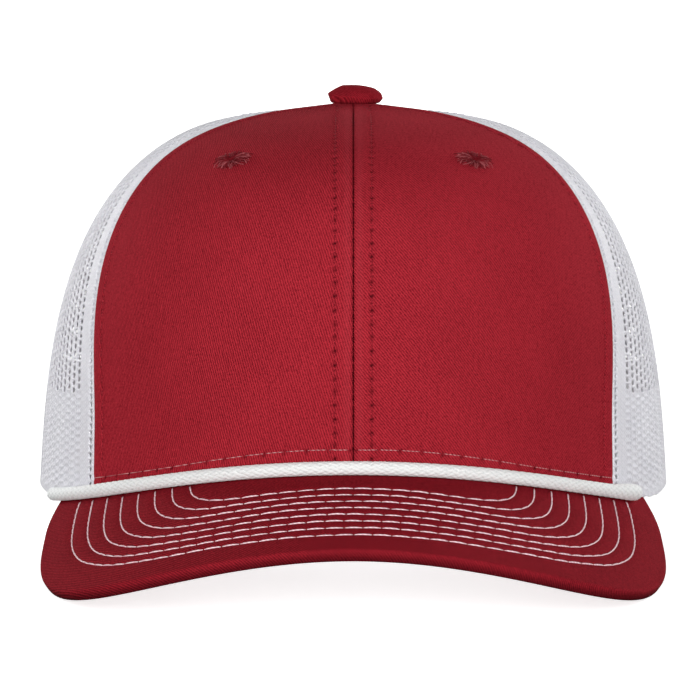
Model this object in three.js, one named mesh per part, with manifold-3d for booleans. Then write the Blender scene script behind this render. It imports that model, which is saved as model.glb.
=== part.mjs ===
// A trucker cap: two cloth front panels, four net panels, a curved peak, a rope across the front,
// a covered button, two stitched eyelets, a sweatband and an arched opening with a plastic strap.
// Millimetres, +Z up. The peak points to -Y, and the cap stands on a table at z = 0.
import * as THREE from 'three';
import Module from 'manifold-3d';
import { mergeVertices } from 'three/addons/utils/BufferGeometryUtils.js';

const wasm = await Module();
wasm.setup();

// Crown: half the width and half the length of the head opening, measured over the cloth.
const rimHalfWidth = 85;
const rimHalfLength = 103;
const crownHeight = 100.6;
// Side view of the crown towards the front, the side and the back. A larger shoulder or rise
// gives a squarer turn into the top, and taper is the share by which the wall leans inwards.
const crownTurn = {
  front: { shoulder: 3.05, rise: 4.5, taper: -0.085 },
  side: { shoulder: 3.12, rise: 2.91, taper: 0.072 },
  back: { shoulder: 2.3, rise: 2.5, taper: 0.05 },
};

// Seams between the panels, in degrees round from the middle of the front. The front seam
// turns back between two height shares of the crown.
const frontSeamAtRim = 52.3;
const frontSeamAtTop = 59.8;
const frontSeamTurnFrom = 0.2;
const frontSeamTurnTo = 0.95;
const backSeam = 117;
const seamGap = 0.3;
const frontThickness = 2.0;
const netThickness = 1.2;

// Peak: a flat board bent round a cylinder, and pitched down towards its tip.
const peakBendRadius = 139;
const peakPitch = 8.5;
const peakRootHeight = 15.2;
const peakThickness = 3.3;
const peakHalfWidth = 84.4;
const peakReach = 61;
const peakTipDroop = 1.2;
const peakCornerStart = -28;
const peakSquareness = 3.15;
const peakHornHalfWidth = 80.9;
const peakHornStart = -55;
const peakEndAngle = 65;
const peakFade = 12;

// Rope sewn in the corner between the front panels and the peak.
const ropeDiameter = 3.5;
const ropeLeftAngle = 65;
const ropeRightAngle = 61;
const wallLeanAtRope = 18;

// Button on top of the crown, with its shank through the middle hole.
const buttonRadius = 7.1;
const buttonHeight = 6.2;
const buttonEdge = 1.1;
const buttonFullness = 0.85;
const shankRadius = 1.9;
const clenchRadius = 4.5;
const clenchThickness = 0.9;

// Eyelets sewn through the front panels, a drop below the top of the crown.
const eyeletAngle = 29.4;
const eyeletDrop = 10;
const eyeletRadius = 3.7;
const eyeletHoleRadius = 1.1;
const eyeletWall = 0.9;
const eyeletFlange = 0.7;
const eyeletBackInset = 0.6;
const eyeletBow = 0.15;

// Sweatband inside the rim.
const bandHeight = 29;
const bandThickness = 1.5;
const bandInset = 2.7;

// Arched opening at the back, its edge binding and the closing strap.
const archHalfWidth = 42;
const archHeight = 47;
const bindingWidth = 8;
const bindingThickness = 0.8;
const strapHeight = 19;
const strapThickness = 1.5;
const strapLift = 3;
const strapTuck = 9;

// Fits. Pieces that touch on the real cap lie this far apart.
const clearance = 0.3;
const rimPress = 0.9;

// Facets.
const frontColumns = 12;
const frontRows = 20;
const netColumns = 11;
const netRows = 17;
const peakStations = 46;
const ropeSides = 10;
const ropeSteps = 52;
const buttonSides = 20;
const eyeletSides = 16;

const degrees = Math.PI / 180;
const centralHoleRadius = shankRadius + clearance;

// The crown's side view at one azimuth, mixed from the front, side and back ones.
function turnAt(azimuth) {
  const front = Math.max(Math.cos(azimuth), 0) ** 2;
  const back = Math.max(-Math.cos(azimuth), 0) ** 2;
  const side = 1 - front - back;
  const mix = (key) =>
    front * crownTurn.front[key] + side * crownTurn.side[key] + back * crownTurn.back[key];
  return { shoulder: mix('shoulder'), rise: mix('rise'), taper: mix('taper') };
}

// Point of the crown's outer face from its azimuth and its height as a share of the crown's.
function crownAtRise(azimuth, rise) {
  const turn = turnAt(azimuth);
  const level = Math.min(Math.max(rise, 0), 1);
  const reach = (1 - level ** turn.rise) ** (1 / turn.shoulder) * (1 - turn.taper * level);
  return new THREE.Vector3(
    rimHalfWidth * Math.sin(azimuth) * reach,
    -rimHalfLength * Math.cos(azimuth) * reach,
    crownHeight * rise,
  );
}

// Height share where the crown's outer face has shrunk to a small radius round the top hole.
function riseAtHole(azimuth, radius) {
  const turn = turnAt(azimuth);
  const span = Math.hypot(rimHalfWidth * Math.sin(azimuth), rimHalfLength * Math.cos(azimuth));
  const reach = radius / span / (1 - turn.taper);
  return (1 - reach ** turn.shoulder) ** (1 / turn.rise);
}

// Zero on the crown's outer face and positive outside it.
function crownField(x, y, z) {
  const turn = turnAt(Math.atan2(x / rimHalfWidth, -y / rimHalfLength));
  const level = Math.max(z / crownHeight, 0);
  const reach = Math.hypot(x / rimHalfWidth, y / rimHalfLength) / (1 - turn.taper * level);
  return reach ** turn.shoulder + level ** turn.rise - 1;
}

// Outward normal of the crown, from small differences of the field.
function crownNormal(point) {
  const step = 0.01;
  const { x, y, z } = point;
  const low = Math.max(z, step);
  return new THREE.Vector3(
    crownField(x + step, y, low) - crownField(x - step, y, low),
    crownField(x, y + step, low) - crownField(x, y - step, low),
    crownField(x, y, low + step) - crownField(x, y, low - step),
  ).normalize();
}

// A point moved out of the crown's face by a distance, or into it when that is negative.
function offsetFromCrown(point, distance) {
  return point.clone().addScaledVector(crownNormal(point), distance);
}

// Point of the crown's wall at a height, moved sideways out of its outer face.
function wallPoint(azimuth, z, distance) {
  const point = crownAtRise(azimuth, z / crownHeight);
  const normal = crownNormal(point).setZ(0).normalize();
  return point.addScaledVector(normal, distance);
}

// Height of the peak's top face over a place, or of a face that lies a distance over it.
function peakHeight(x, y, over) {
  const radius = peakBendRadius + over;
  const drop = Math.sqrt(Math.max(radius ** 2 - x ** 2, 0)) - peakBendRadius;
  const pitch = peakPitch * degrees;
  const forward = (-rimHalfLength - y - drop * Math.sin(pitch)) / Math.cos(pitch);
  return peakRootHeight - forward * Math.sin(pitch) + drop * Math.cos(pitch);
}

// Height of the crown's lower edge: along the peak in front, and level behind it.
function lowerEdgeHeight(azimuth, x, y, over) {
  const past = (Math.abs(azimuth) / degrees - peakEndAngle) / peakFade;
  const fade = 1 - THREE.MathUtils.smoothstep(past, 0, 1);
  return fade > 0 ? peakHeight(x, y, over) * fade : 0;
}

// Point of the crown's lower edge at an azimuth, a distance out of or into its outer face.
function lowerEdge(azimuth, distance, over) {
  let point = wallPoint(azimuth, 0, distance);
  for (let pass = 0; pass < 8; pass += 1) {
    const z = lowerEdgeHeight(azimuth, point.x, point.y, over);
    point = wallPoint(azimuth, Math.max(z, 0), distance).setZ(z);
  }
  return point;
}

// A closed wall between an outer and an inner grid of points, both listed row by row.
function wallGeometry(outer, inner) {
  const rows = outer.length;
  const columns = outer[0].length;
  const size = rows * columns;
  const index = [];
  const outerAt = (row, column) => row * columns + column;
  const innerAt = (row, column) => size + row * columns + column;
  const quad = (a, b, c, d) => index.push(a, b, c, a, c, d);
  for (let row = 0; row < rows - 1; row += 1) {
    for (let column = 0; column < columns - 1; column += 1) {
      quad(
        outerAt(row, column),
        outerAt(row, column + 1),
        outerAt(row + 1, column + 1),
        outerAt(row + 1, column),
      );
      quad(
        innerAt(row, column),
        innerAt(row + 1, column),
        innerAt(row + 1, column + 1),
        innerAt(row, column + 1),
      );
    }
  }
  for (let column = 0; column < columns - 1; column += 1) {
    const last = rows - 1;
    quad(outerAt(0, column + 1), outerAt(0, column), innerAt(0, column), innerAt(0, column + 1));
    quad(
      outerAt(last, column),
      outerAt(last, column + 1),
      innerAt(last, column + 1),
      innerAt(last, column),
    );
  }
  for (let row = 0; row < rows - 1; row += 1) {
    const last = columns - 1;
    quad(outerAt(row, 0), outerAt(row + 1, 0), innerAt(row + 1, 0), innerAt(row, 0));
    quad(outerAt(row + 1, last), outerAt(row, last), innerAt(row, last), innerAt(row + 1, last));
  }
  return geometryOf([...outer.flat(), ...inner.flat()], index);
}

// A solid through a row of closed sections with equal numbers of points, flat at both ends.
function loftGeometry(sections, capTriangles) {
  const around = sections[0].length;
  const index = [];
  for (let section = 0; section < sections.length - 1; section += 1) {
    for (let side = 0; side < around; side += 1) {
      const next = (side + 1) % around;
      const near = section * around;
      const far = near + around;
      index.push(near + side, near + next, far + next, near + side, far + next, far + side);
    }
  }
  const end = (sections.length - 1) * around;
  for (const [a, b, c] of capTriangles) {
    index.push(c, b, a, end + a, end + b, end + c);
  }
  return geometryOf(sections.flat(), index);
}

function geometryOf(points, index) {
  const geometry = new THREE.BufferGeometry().setFromPoints(points);
  geometry.setIndex(index);
  geometry.computeVertexNormals();
  return geometry;
}

// Azimuth of the seam between a front panel and the net at a height share.
function frontSeamAngle(rise) {
  const share = THREE.MathUtils.smoothstep(rise, frontSeamTurnFrom, frontSeamTurnTo);
  return THREE.MathUtils.lerp(frontSeamAtRim, frontSeamAtTop, share) * degrees;
}

const seams = {
  middle: () => 0,
  right: frontSeamAngle,
  rightBack: () => backSeam * degrees,
  back: () => Math.PI,
  left: (rise) => -frontSeamAngle(rise),
  leftBack: () => -backSeam * degrees,
  backFromLeft: () => -Math.PI,
};

// One crown panel between two seams, from its lower edge up to the hole under the button.
// Each column is walked in small steps first, so that its rows are evenly spaced along it.
function panelGeometry(startSeam, endSeam, columns, rows, thickness) {
  const halfGap = seamGap / 2;
  const walkSteps = 90;
  const place = (share, rise) => {
    const start = startSeam(rise);
    const end = endSeam(rise);
    const middle = crownAtRise((start + end) / 2, rise);
    const inset = Math.asin(halfGap / Math.max(Math.hypot(middle.x, middle.y), shankRadius));
    const azimuth = THREE.MathUtils.lerp(start + inset, end - inset, share);
    return crownAtRise(azimuth, rise);
  };
  const outer = Array.from({ length: rows + 1 }, () => []);
  const inner = Array.from({ length: rows + 1 }, () => []);
  for (let column = 0; column <= columns; column += 1) {
    const share = column / columns;
    const rimAzimuth = THREE.MathUtils.lerp(startSeam(0), endSeam(0), share);
    const topAzimuth = THREE.MathUtils.lerp(startSeam(1), endSeam(1), share);
    const lowRise = Math.max(lowerEdge(rimAzimuth, 0, clearance).z, 0) / crownHeight;
    const highRise = riseAtHole(topAzimuth, centralHoleRadius);
    const lowTurn = Math.asin(lowRise / highRise);
    const walk = [];
    let length = 0;
    for (let step = 0; step <= walkSteps; step += 1) {
      const turn = THREE.MathUtils.lerp(lowTurn, Math.PI / 2, step / walkSteps);
      const rise = highRise * Math.sin(turn);
      const point = place(share, rise);
      if (step > 0) length += point.distanceTo(walk[step - 1].point);
      walk.push({ rise, point, length });
    }
    for (let row = 0; row <= rows; row += 1) {
      const wanted = (row / rows) * length;
      const after = Math.min(Math.max(walk.findIndex((mark) => mark.length >= wanted), 1), walkSteps);
      const from = walk[after - 1];
      const to = walk[after];
      const part = (wanted - from.length) / (to.length - from.length);
      const rise = row === rows ? highRise : THREE.MathUtils.lerp(from.rise, to.rise, part);
      const point = place(share, rise);
      const under = offsetFromCrown(point, -thickness);
      if (row === 0) {
        point.z = lowerEdgeHeight(rimAzimuth, point.x, point.y, clearance);
        under.z = lowerEdgeHeight(rimAzimuth, under.x, under.y, clearance);
      }
      outer[row].push(point);
      inner[row].push(under);
    }
  }
  return wallGeometry(outer, inner);
}

// A closed three.js geometry as a solid for joins and cuts, and back again.
function solidOf(geometry) {
  const bare = geometry.clone();
  bare.deleteAttribute('normal');
  bare.deleteAttribute('uv');
  const merged = mergeVertices(bare, 1e-4);
  return new wasm.Manifold(
    new wasm.Mesh({
      numProp: 3,
      vertProperties: new Float32Array(merged.attributes.position.array),
      triVerts: new Uint32Array(merged.index.array),
    }),
  );
}

function geometryOfSolid(solid) {
  const mesh = solid.getMesh();
  const geometry = new THREE.BufferGeometry();
  geometry.setAttribute('position', new THREE.BufferAttribute(mesh.vertProperties, mesh.numProp));
  geometry.setIndex(new THREE.BufferAttribute(mesh.triVerts, 1));
  geometry.computeVertexNormals();
  return geometry;
}

// Where an eyelet sits, and the turn that points +Z out of the crown there.
function eyeletPlace(side) {
  const rise = (crownHeight - eyeletDrop) / crownHeight;
  const point = crownAtRise(side * eyeletAngle * degrees, rise);
  const turn = new THREE.Quaternion();
  turn.setFromUnitVectors(new THREE.Vector3(0, 0, 1), crownNormal(point));
  return { point, turn };
}

function frontPanelGeometry(side) {
  const columns = frontColumns;
  const geometry =
    side > 0
      ? panelGeometry(seams.middle, seams.right, columns, frontRows, frontThickness)
      : panelGeometry(seams.left, seams.middle, columns, frontRows, frontThickness);
  const { point, turn } = eyeletPlace(side);
  const radius = eyeletHoleRadius + eyeletWall + clearance;
  const drill = new THREE.CylinderGeometry(radius, radius, frontThickness * 6, eyeletSides);
  drill.rotateX(Math.PI / 2);
  drill.applyQuaternion(turn);
  drill.translate(point.x, point.y, point.z);
  return geometryOfSolid(solidOf(geometry).subtract(solidOf(drill)));
}

// Ring of thread through the cloth, with a flange over its outer and its inner face. The
// flanges clear the bow of the cloth under them.
function eyeletGeometry() {
  const over = clearance + eyeletBow;
  const backRadius = eyeletRadius - eyeletBackInset;
  const barrel = eyeletHoleRadius + eyeletWall;
  const outerLow = over;
  const outerHigh = over + eyeletFlange;
  const innerHigh = -frontThickness - over;
  const innerLow = innerHigh - eyeletFlange;
  const profile = [
    [eyeletHoleRadius, innerLow],
    [backRadius, innerLow],
    [backRadius, innerHigh],
    [barrel, innerHigh],
    [barrel, outerLow],
    [eyeletRadius, outerLow],
    [eyeletRadius - eyeletFlange * 0.3, outerLow + eyeletFlange * 0.6],
    [eyeletRadius - eyeletFlange, outerHigh],
    [eyeletHoleRadius + eyeletFlange * 0.4, outerHigh],
    [eyeletHoleRadius, outerHigh - eyeletFlange * 0.4],
    [eyeletHoleRadius, innerLow],
  ];
  return new THREE.LatheGeometry(profile.map(([r, z]) => new THREE.Vector2(r, z)), eyeletSides);
}

// Domed button over the top, its shank and the plate that clenches it inside.
function buttonGeometry() {
  const underside = clearance;
  const clenchTop = -frontThickness - clearance;
  const profile = [
    [0, clenchTop - clenchThickness],
    [clenchRadius, clenchTop - clenchThickness],
    [clenchRadius, clenchTop],
    [shankRadius, clenchTop],
    [shankRadius, underside],
    [buttonRadius - buttonEdge / 2, underside],
    [buttonRadius, (underside + buttonEdge) / 2],
  ];
  const domeRows = 6;
  for (let row = 0; row <= domeRows; row += 1) {
    const turn = (row / domeRows) * (Math.PI / 2);
    const radius = row === domeRows ? 0 : buttonRadius * Math.cos(turn) ** buttonFullness;
    profile.push([radius, buttonEdge + (buttonHeight - buttonEdge) * Math.sin(turn)]);
  }
  return new THREE.LatheGeometry(profile.map(([r, z]) => new THREE.Vector2(r, z)), buttonSides);
}

// The peak's flat pattern: u across and v forward from the middle of its root.
function peakOutline(share) {
  const points = [];
  const cornerSteps = 60;
  const depth = peakReach - peakCornerStart;
  for (let step = 0; step <= cornerSteps; step += 1) {
    const turn = (step / cornerSteps) * (Math.PI / 2);
    points.push(
      new THREE.Vector2(
        peakHalfWidth * Math.sin(turn) ** (2 / peakSquareness),
        peakCornerStart + depth * Math.cos(turn) ** (2 / peakSquareness),
      ),
    );
  }
  const hornSteps = 12;
  for (let step = 1; step <= hornSteps; step += 1) {
    const back = step / hornSteps;
    points.push(
      new THREE.Vector2(
        peakHalfWidth - (peakHalfWidth - peakHornHalfWidth) * back ** 2,
        THREE.MathUtils.lerp(peakCornerStart, peakHornStart, back),
      ),
    );
  }
  const lengths = [0];
  for (let step = 1; step < points.length; step += 1) {
    lengths.push(lengths[step - 1] + points[step].distanceTo(points[step - 1]));
  }
  const wanted = Math.abs(share) * lengths[lengths.length - 1];
  const after = Math.max(lengths.findIndex((length) => length >= wanted - 1e-9), 1);
  const part = (wanted - lengths[after - 1]) / (lengths[after] - lengths[after - 1]);
  const point = points[after - 1].clone().lerp(points[after], part);
  return new THREE.Vector2(Math.sign(share) * point.x, point.y);
}

// A place of the flat pattern on the bent peak, a distance over its top face. Towards the
// tip the board droops a little below the cylinder.
function peakPoint(u, v, over) {
  const radius = peakBendRadius + over;
  const across = radius * Math.sin(u / peakBendRadius);
  const droop = peakTipDroop * (Math.max(v, 0) / peakReach) ** 2;
  const drop = radius * Math.cos(u / peakBendRadius) - peakBendRadius - droop;
  const pitch = peakPitch * degrees;
  return new THREE.Vector3(
    across,
    -rimHalfLength - v * Math.cos(pitch) - drop * Math.sin(pitch),
    peakRootHeight - v * Math.sin(pitch) + drop * Math.cos(pitch),
  );
}

// The flat pattern's place for a plan position on a face that lies over the peak's top.
function patternAt(x, y, over) {
  const radius = peakBendRadius + over;
  const turn = Math.asin(THREE.MathUtils.clamp(x / radius, -1, 1));
  const drop = radius * Math.cos(turn) - peakBendRadius;
  const pitch = peakPitch * degrees;
  const forward = (-rimHalfLength - y - drop * Math.sin(pitch)) / Math.cos(pitch);
  return new THREE.Vector2(peakBendRadius * turn, forward);
}

// Sections run from the root out to the edge along the top, round it and back underneath.
// The root is upright under the inner face of the front panels, and so are the horns' edges.
function peakGeometry() {
  const topSteps = 7;
  const edgeSteps = 4;
  const edgeRadius = peakThickness / 2;
  const uprightFrom = 0.75;
  const sections = [];
  for (let station = 0; station <= peakStations; station += 1) {
    const along = (station / peakStations) * 2 - 1;
    const azimuth = along * peakEndAngle * degrees;
    const rootPoint = lowerEdge(azimuth, -frontThickness, 0);
    const footPoint = lowerEdge(azimuth, -frontThickness, -peakThickness);
    const root = patternAt(rootPoint.x, rootPoint.y, 0);
    const foot = patternAt(footPoint.x, footPoint.y, -peakThickness);
    const edge = peakOutline(along);
    const edgePoint = peakPoint(edge.x, edge.y, 0);
    const upright = THREE.MathUtils.smoothstep(Math.abs(along), uprightFrom, 1);
    const plumb = patternAt(edgePoint.x, edgePoint.y, -peakThickness);
    const underEdge = edge.clone().lerp(plumb, upright);
    const length = root.distanceTo(edge);
    const flat = Math.max(1 - edgeRadius / length, 0.3);
    const place = (share, over) => {
      const top = root.clone().lerp(edge, share);
      const under = foot.clone().lerp(underEdge, share);
      const spot = top.lerp(under, -over / peakThickness);
      return peakPoint(spot.x, spot.y, over);
    };
    const section = [];
    for (let step = 0; step < topSteps; step += 1) {
      section.push(place((flat * step) / topSteps, 0));
    }
    for (let step = 0; step <= edgeSteps; step += 1) {
      const turn = (step / edgeSteps) * Math.PI;
      section.push(place(flat + (1 - flat) * Math.sin(turn), edgeRadius * (Math.cos(turn) - 1)));
    }
    for (let step = topSteps - 1; step >= 0; step -= 1) {
      section.push(place((flat * step) / topSteps, -peakThickness));
    }
    sections.push(section);
  }
  const around = sections[0].length;
  const endFace = [];
  for (let side = 0; side < around / 2 - 1; side += 1) {
    const other = around - 1 - side;
    endFace.push([side, side + 1, other]);
    if (side + 1 < other - 1) endFace.push([side + 1, other - 1, other]);
  }
  return loftGeometry(sections, endFace);
}

// The rope lies against the front panels and on the peak, a clearance from each.
class RopeRoute extends THREE.Curve {
  getPoint(share, target = new THREE.Vector3()) {
    const azimuth = THREE.MathUtils.lerp(-ropeLeftAngle, ropeRightAngle, share) * degrees;
    const ropeLean = wallLeanAtRope * degrees;
    const away = ropeDiameter / 2 + clearance;
    return target.copy(lowerEdge(azimuth, away / Math.cos(ropeLean), away));
  }
}

function ropeGeometry() {
  const section = new THREE.Shape();
  section.absarc(0, 0, ropeDiameter / 2, 0, Math.PI * 2);
  return new THREE.ExtrudeGeometry(section, {
    curveSegments: ropeSides / 2,
    steps: ropeSteps,
    bevelEnabled: false,
    extrudePath: new RopeRoute(),
  });
}

// Sweatband: a strip inside the rim that follows the lower edge and stops beside the strap.
function sweatbandGeometry() {
  const columns = 64;
  const rows = 3;
  const endX = archHalfWidth + strapTuck + 2 * clearance;
  const endAngle = Math.PI - Math.asin(endX / (rimHalfWidth - bandInset));
  const underPeak = peakThickness + clearance;
  const outer = Array.from({ length: rows + 1 }, () => []);
  const inner = Array.from({ length: rows + 1 }, () => []);
  for (let column = 0; column <= columns; column += 1) {
    const azimuth = THREE.MathUtils.lerp(-endAngle, endAngle, column / columns);
    const foot = Math.max(lowerEdge(azimuth, -bandInset, -underPeak).z, 0);
    for (let row = 0; row <= rows; row += 1) {
      const z = foot + (bandHeight * row) / rows;
      outer[row].push(wallPoint(azimuth, z, -bandInset));
      inner[row].push(wallPoint(azimuth, z, -bandInset - bandThickness));
    }
  }
  return wallGeometry(outer, inner);
}

// A place at the back of the crown from its x and z, a distance out of the outer face.
function backPoint(x, z, distance) {
  let azimuth = Math.PI - Math.asin(x / rimHalfWidth);
  for (let pass = 0; pass < 12; pass += 1) {
    const point = crownAtRise(azimuth, z / crownHeight);
    azimuth -= (x - point.x) / (rimHalfWidth * -Math.cos(azimuth));
    azimuth = THREE.MathUtils.clamp(azimuth, Math.PI / 2, (Math.PI * 3) / 2);
  }
  const point = crownAtRise(azimuth, Math.max(z, 0) / crownHeight).setZ(z);
  return point.addScaledVector(crownNormal(point), distance);
}

// Block that cuts the arch through both back panels.
function archCutter() {
  const shape = new THREE.Shape();
  const steps = 24;
  shape.moveTo(archHalfWidth, -crownHeight);
  for (let step = 0; step <= steps; step += 1) {
    const turn = (step / steps) * Math.PI;
    shape.lineTo(archHalfWidth * Math.cos(turn), archHeight * Math.sin(turn));
  }
  shape.lineTo(-archHalfWidth, -crownHeight);
  const block = new THREE.ExtrudeGeometry(shape, { depth: rimHalfLength * 2, bevelEnabled: false });
  block.rotateX(Math.PI / 2);
  block.translate(0, rimHalfLength * 2.2, 0);
  return solidOf(block);
}

function backPanelGeometry(side) {
  const geometry =
    side > 0
      ? panelGeometry(seams.rightBack, seams.back, netColumns, netRows, netThickness)
      : panelGeometry(seams.backFromLeft, seams.leftBack, netColumns, netRows, netThickness);
  return geometryOfSolid(solidOf(geometry).subtract(archCutter()));
}

function sidePanelGeometry(side) {
  return side > 0
    ? panelGeometry(seams.right, seams.rightBack, netColumns, netRows, netThickness)
    : panelGeometry(seams.leftBack, seams.left, netColumns, netRows, netThickness);
}

// Folded tape over the arch's edge: e runs away from the opening and d out of the crown.
function bindingGeometry() {
  const stations = 28;
  const leafOut = clearance;
  const leafIn = -netThickness - clearance;
  const folded = [
    [bindingWidth, leafOut],
    [bindingWidth, leafOut + bindingThickness],
    [-clearance - bindingThickness, leafOut + bindingThickness],
    [-clearance - bindingThickness, leafIn - bindingThickness],
    [bindingWidth, leafIn - bindingThickness],
    [bindingWidth, leafIn],
    [-clearance, leafIn],
    [-clearance, leafOut],
  ];
  const sections = [];
  for (let station = 0; station <= stations; station += 1) {
    const turn = (station / stations) * Math.PI;
    sections.push(
      folded.map(([e, d]) => {
        const x = (archHalfWidth + e) * Math.cos(turn);
        const z = (archHeight + e) * Math.sin(turn);
        const point = backPoint(x, z, d);
        if (station === 0 || station === stations) point.z = 0;
        return point;
      }),
    );
  }
  const flat = folded.map(([e, d]) => new THREE.Vector2(e, d));
  return loftGeometry(sections, THREE.ShapeUtils.triangulateShape(flat, []));
}

// Plastic strap across the foot of the arch, its ends inside the binding.
function strapGeometry() {
  const columns = 24;
  const rows = 2;
  const halfLength = archHalfWidth + strapTuck;
  const inset = -netThickness - 2 * clearance - bindingThickness;
  const outer = Array.from({ length: rows + 1 }, () => []);
  const inner = Array.from({ length: rows + 1 }, () => []);
  for (let column = 0; column <= columns; column += 1) {
    const x = THREE.MathUtils.lerp(halfLength, -halfLength, column / columns);
    for (let row = 0; row <= rows; row += 1) {
      const z = strapLift + (strapHeight * row) / rows;
      outer[row].push(backPoint(x, z, inset));
      inner[row].push(backPoint(x, z, inset - strapThickness));
    }
  }
  return wallGeometry(outer, inner);
}

const materials = {
  red: new THREE.MeshStandardMaterial({ color: '#b3152b', roughness: 0.9, metalness: 0 }),
  net: new THREE.MeshStandardMaterial({ color: '#eeecf2', roughness: 0.7, metalness: 0 }),
  rope: new THREE.MeshStandardMaterial({ color: '#e9edf3', roughness: 0.75, metalness: 0 }),
  thread: new THREE.MeshStandardMaterial({ color: '#8f1226', roughness: 0.9, metalness: 0 }),
  band: new THREE.MeshStandardMaterial({ color: '#f0eef0', roughness: 0.9, metalness: 0 }),
  plastic: new THREE.MeshStandardMaterial({ color: '#f2f2f3', roughness: 0.4, metalness: 0 }),
};

const cap = new THREE.Group();

function addPiece(name, geometry, material) {
  const mesh = new THREE.Mesh(geometry, material);
  mesh.name = name;
  cap.add(mesh);
  return mesh;
}

addPiece('front_panel_left', frontPanelGeometry(-1), materials.red);
addPiece('front_panel_right', frontPanelGeometry(1), materials.red);
addPiece('side_panel_left', sidePanelGeometry(-1), materials.net);
addPiece('side_panel_right', sidePanelGeometry(1), materials.net);
addPiece('back_panel_left', backPanelGeometry(-1), materials.net);
addPiece('back_panel_right', backPanelGeometry(1), materials.net);
addPiece('peak', peakGeometry(), materials.red);
addPiece('rope', ropeGeometry(), materials.rope);
addPiece('sweatband', sweatbandGeometry(), materials.band);
addPiece('closure_binding', bindingGeometry(), materials.net);
addPiece('snap_strap', strapGeometry(), materials.plastic);

const button = addPiece('button', buttonGeometry(), materials.red);
button.rotation.x = Math.PI / 2;
button.position.z = crownHeight;

for (const [name, side] of [['eyelet_left', -1], ['eyelet_right', 1]]) {
  const { point, turn } = eyeletPlace(side);
  const eyelet = addPiece(name, eyeletGeometry().rotateX(Math.PI / 2), materials.thread);
  eyelet.quaternion.copy(turn);
  eyelet.position.copy(point);
}

// Lowest height of some pieces when the cap is pitched nose up by an angle.
function lowestOf(names, pitch) {
  let lowest = Infinity;
  const point = new THREE.Vector3();
  for (const mesh of cap.children.filter((child) => names.includes(child.name))) {
    const positions = mesh.geometry.attributes.position;
    for (let vertex = 0; vertex < positions.count; vertex += 1) {
      point.fromBufferAttribute(positions, vertex);
      lowest = Math.min(lowest, point.z * Math.cos(pitch) - point.y * Math.sin(pitch));
    }
  }
  return lowest;
}

// The cap rests on the two corners of its peak and on the back of its rim. The pitch is
// halved down until both are as low, with the cloth of the rim pressed a little flat.
const rearPieces = ['back_panel_left', 'back_panel_right', 'closure_binding', 'sweatband'];
let leastPitch = -10 * degrees;
let mostPitch = 20 * degrees;
for (let pass = 0; pass < 40; pass += 1) {
  const pitch = (leastPitch + mostPitch) / 2;
  if (lowestOf(['peak'], pitch) < lowestOf(rearPieces, pitch) + rimPress) leastPitch = pitch;
  else mostPitch = pitch;
}
const restPitch = (leastPitch + mostPitch) / 2;
const restLift = -lowestOf(['peak'], restPitch);
cap.rotation.x = -restPitch;
cap.position.z = restLift;
cap.updateMatrixWorld(true);

// Cloth below the table is pressed up onto it.
const toWorld = cap.matrixWorld;
const toCap = toWorld.clone().invert();
for (const mesh of cap.children.filter((child) => rearPieces.includes(child.name))) {
  const positions = mesh.geometry.attributes.position;
  const point = new THREE.Vector3();
  for (let vertex = 0; vertex < positions.count; vertex += 1) {
    point.fromBufferAttribute(positions, vertex).applyMatrix4(toWorld);
    if (point.z >= 0) continue;
    point.setZ(0).applyMatrix4(toCap);
    positions.setXYZ(vertex, point.x, point.y, point.z);
  }
}

const footprint = new THREE.Box3().setFromObject(cap, true);
cap.position.y = -(footprint.min.y + footprint.max.y) / 2;
cap.position.x = -(footprint.min.x + footprint.max.x) / 2;

export default cap;
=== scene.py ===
import math

import bmesh
import bpy
import numpy as np
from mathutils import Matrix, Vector


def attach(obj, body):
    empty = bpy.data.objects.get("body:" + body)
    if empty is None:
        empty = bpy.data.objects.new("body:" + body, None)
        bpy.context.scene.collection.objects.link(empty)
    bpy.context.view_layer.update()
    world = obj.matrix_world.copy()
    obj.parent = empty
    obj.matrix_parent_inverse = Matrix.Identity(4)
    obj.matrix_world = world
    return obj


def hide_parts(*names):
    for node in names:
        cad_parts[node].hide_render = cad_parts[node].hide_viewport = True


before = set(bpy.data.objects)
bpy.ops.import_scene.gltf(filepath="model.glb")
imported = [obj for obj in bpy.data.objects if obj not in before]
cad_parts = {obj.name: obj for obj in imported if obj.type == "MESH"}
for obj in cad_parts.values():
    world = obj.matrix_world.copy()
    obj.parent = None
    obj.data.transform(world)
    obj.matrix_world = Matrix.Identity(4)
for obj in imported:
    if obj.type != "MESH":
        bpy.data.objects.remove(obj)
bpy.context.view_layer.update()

# A trucker cap on a studio floor. Sizes are millimetres in the cap's own frame, where the rim
# is level at z = 0 and the peak points to -Y. Blender's own lengths are metres.


# Front panels. Two panels of red cotton twill over stiff buckram, joined by a seam up the
# middle. The seam allowances are stitched down on both sides of it, and each outer edge is
# folded over the net and topstitched.
REST_PITCH = math.radians(-3.669748)
REST_PLACE = (0.0, 31.0693, 4.9377)
RIM_HALF_WIDTH, RIM_HALF_LENGTH, CROWN_HEIGHT = 85.0, 103.0, 100.6
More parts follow.
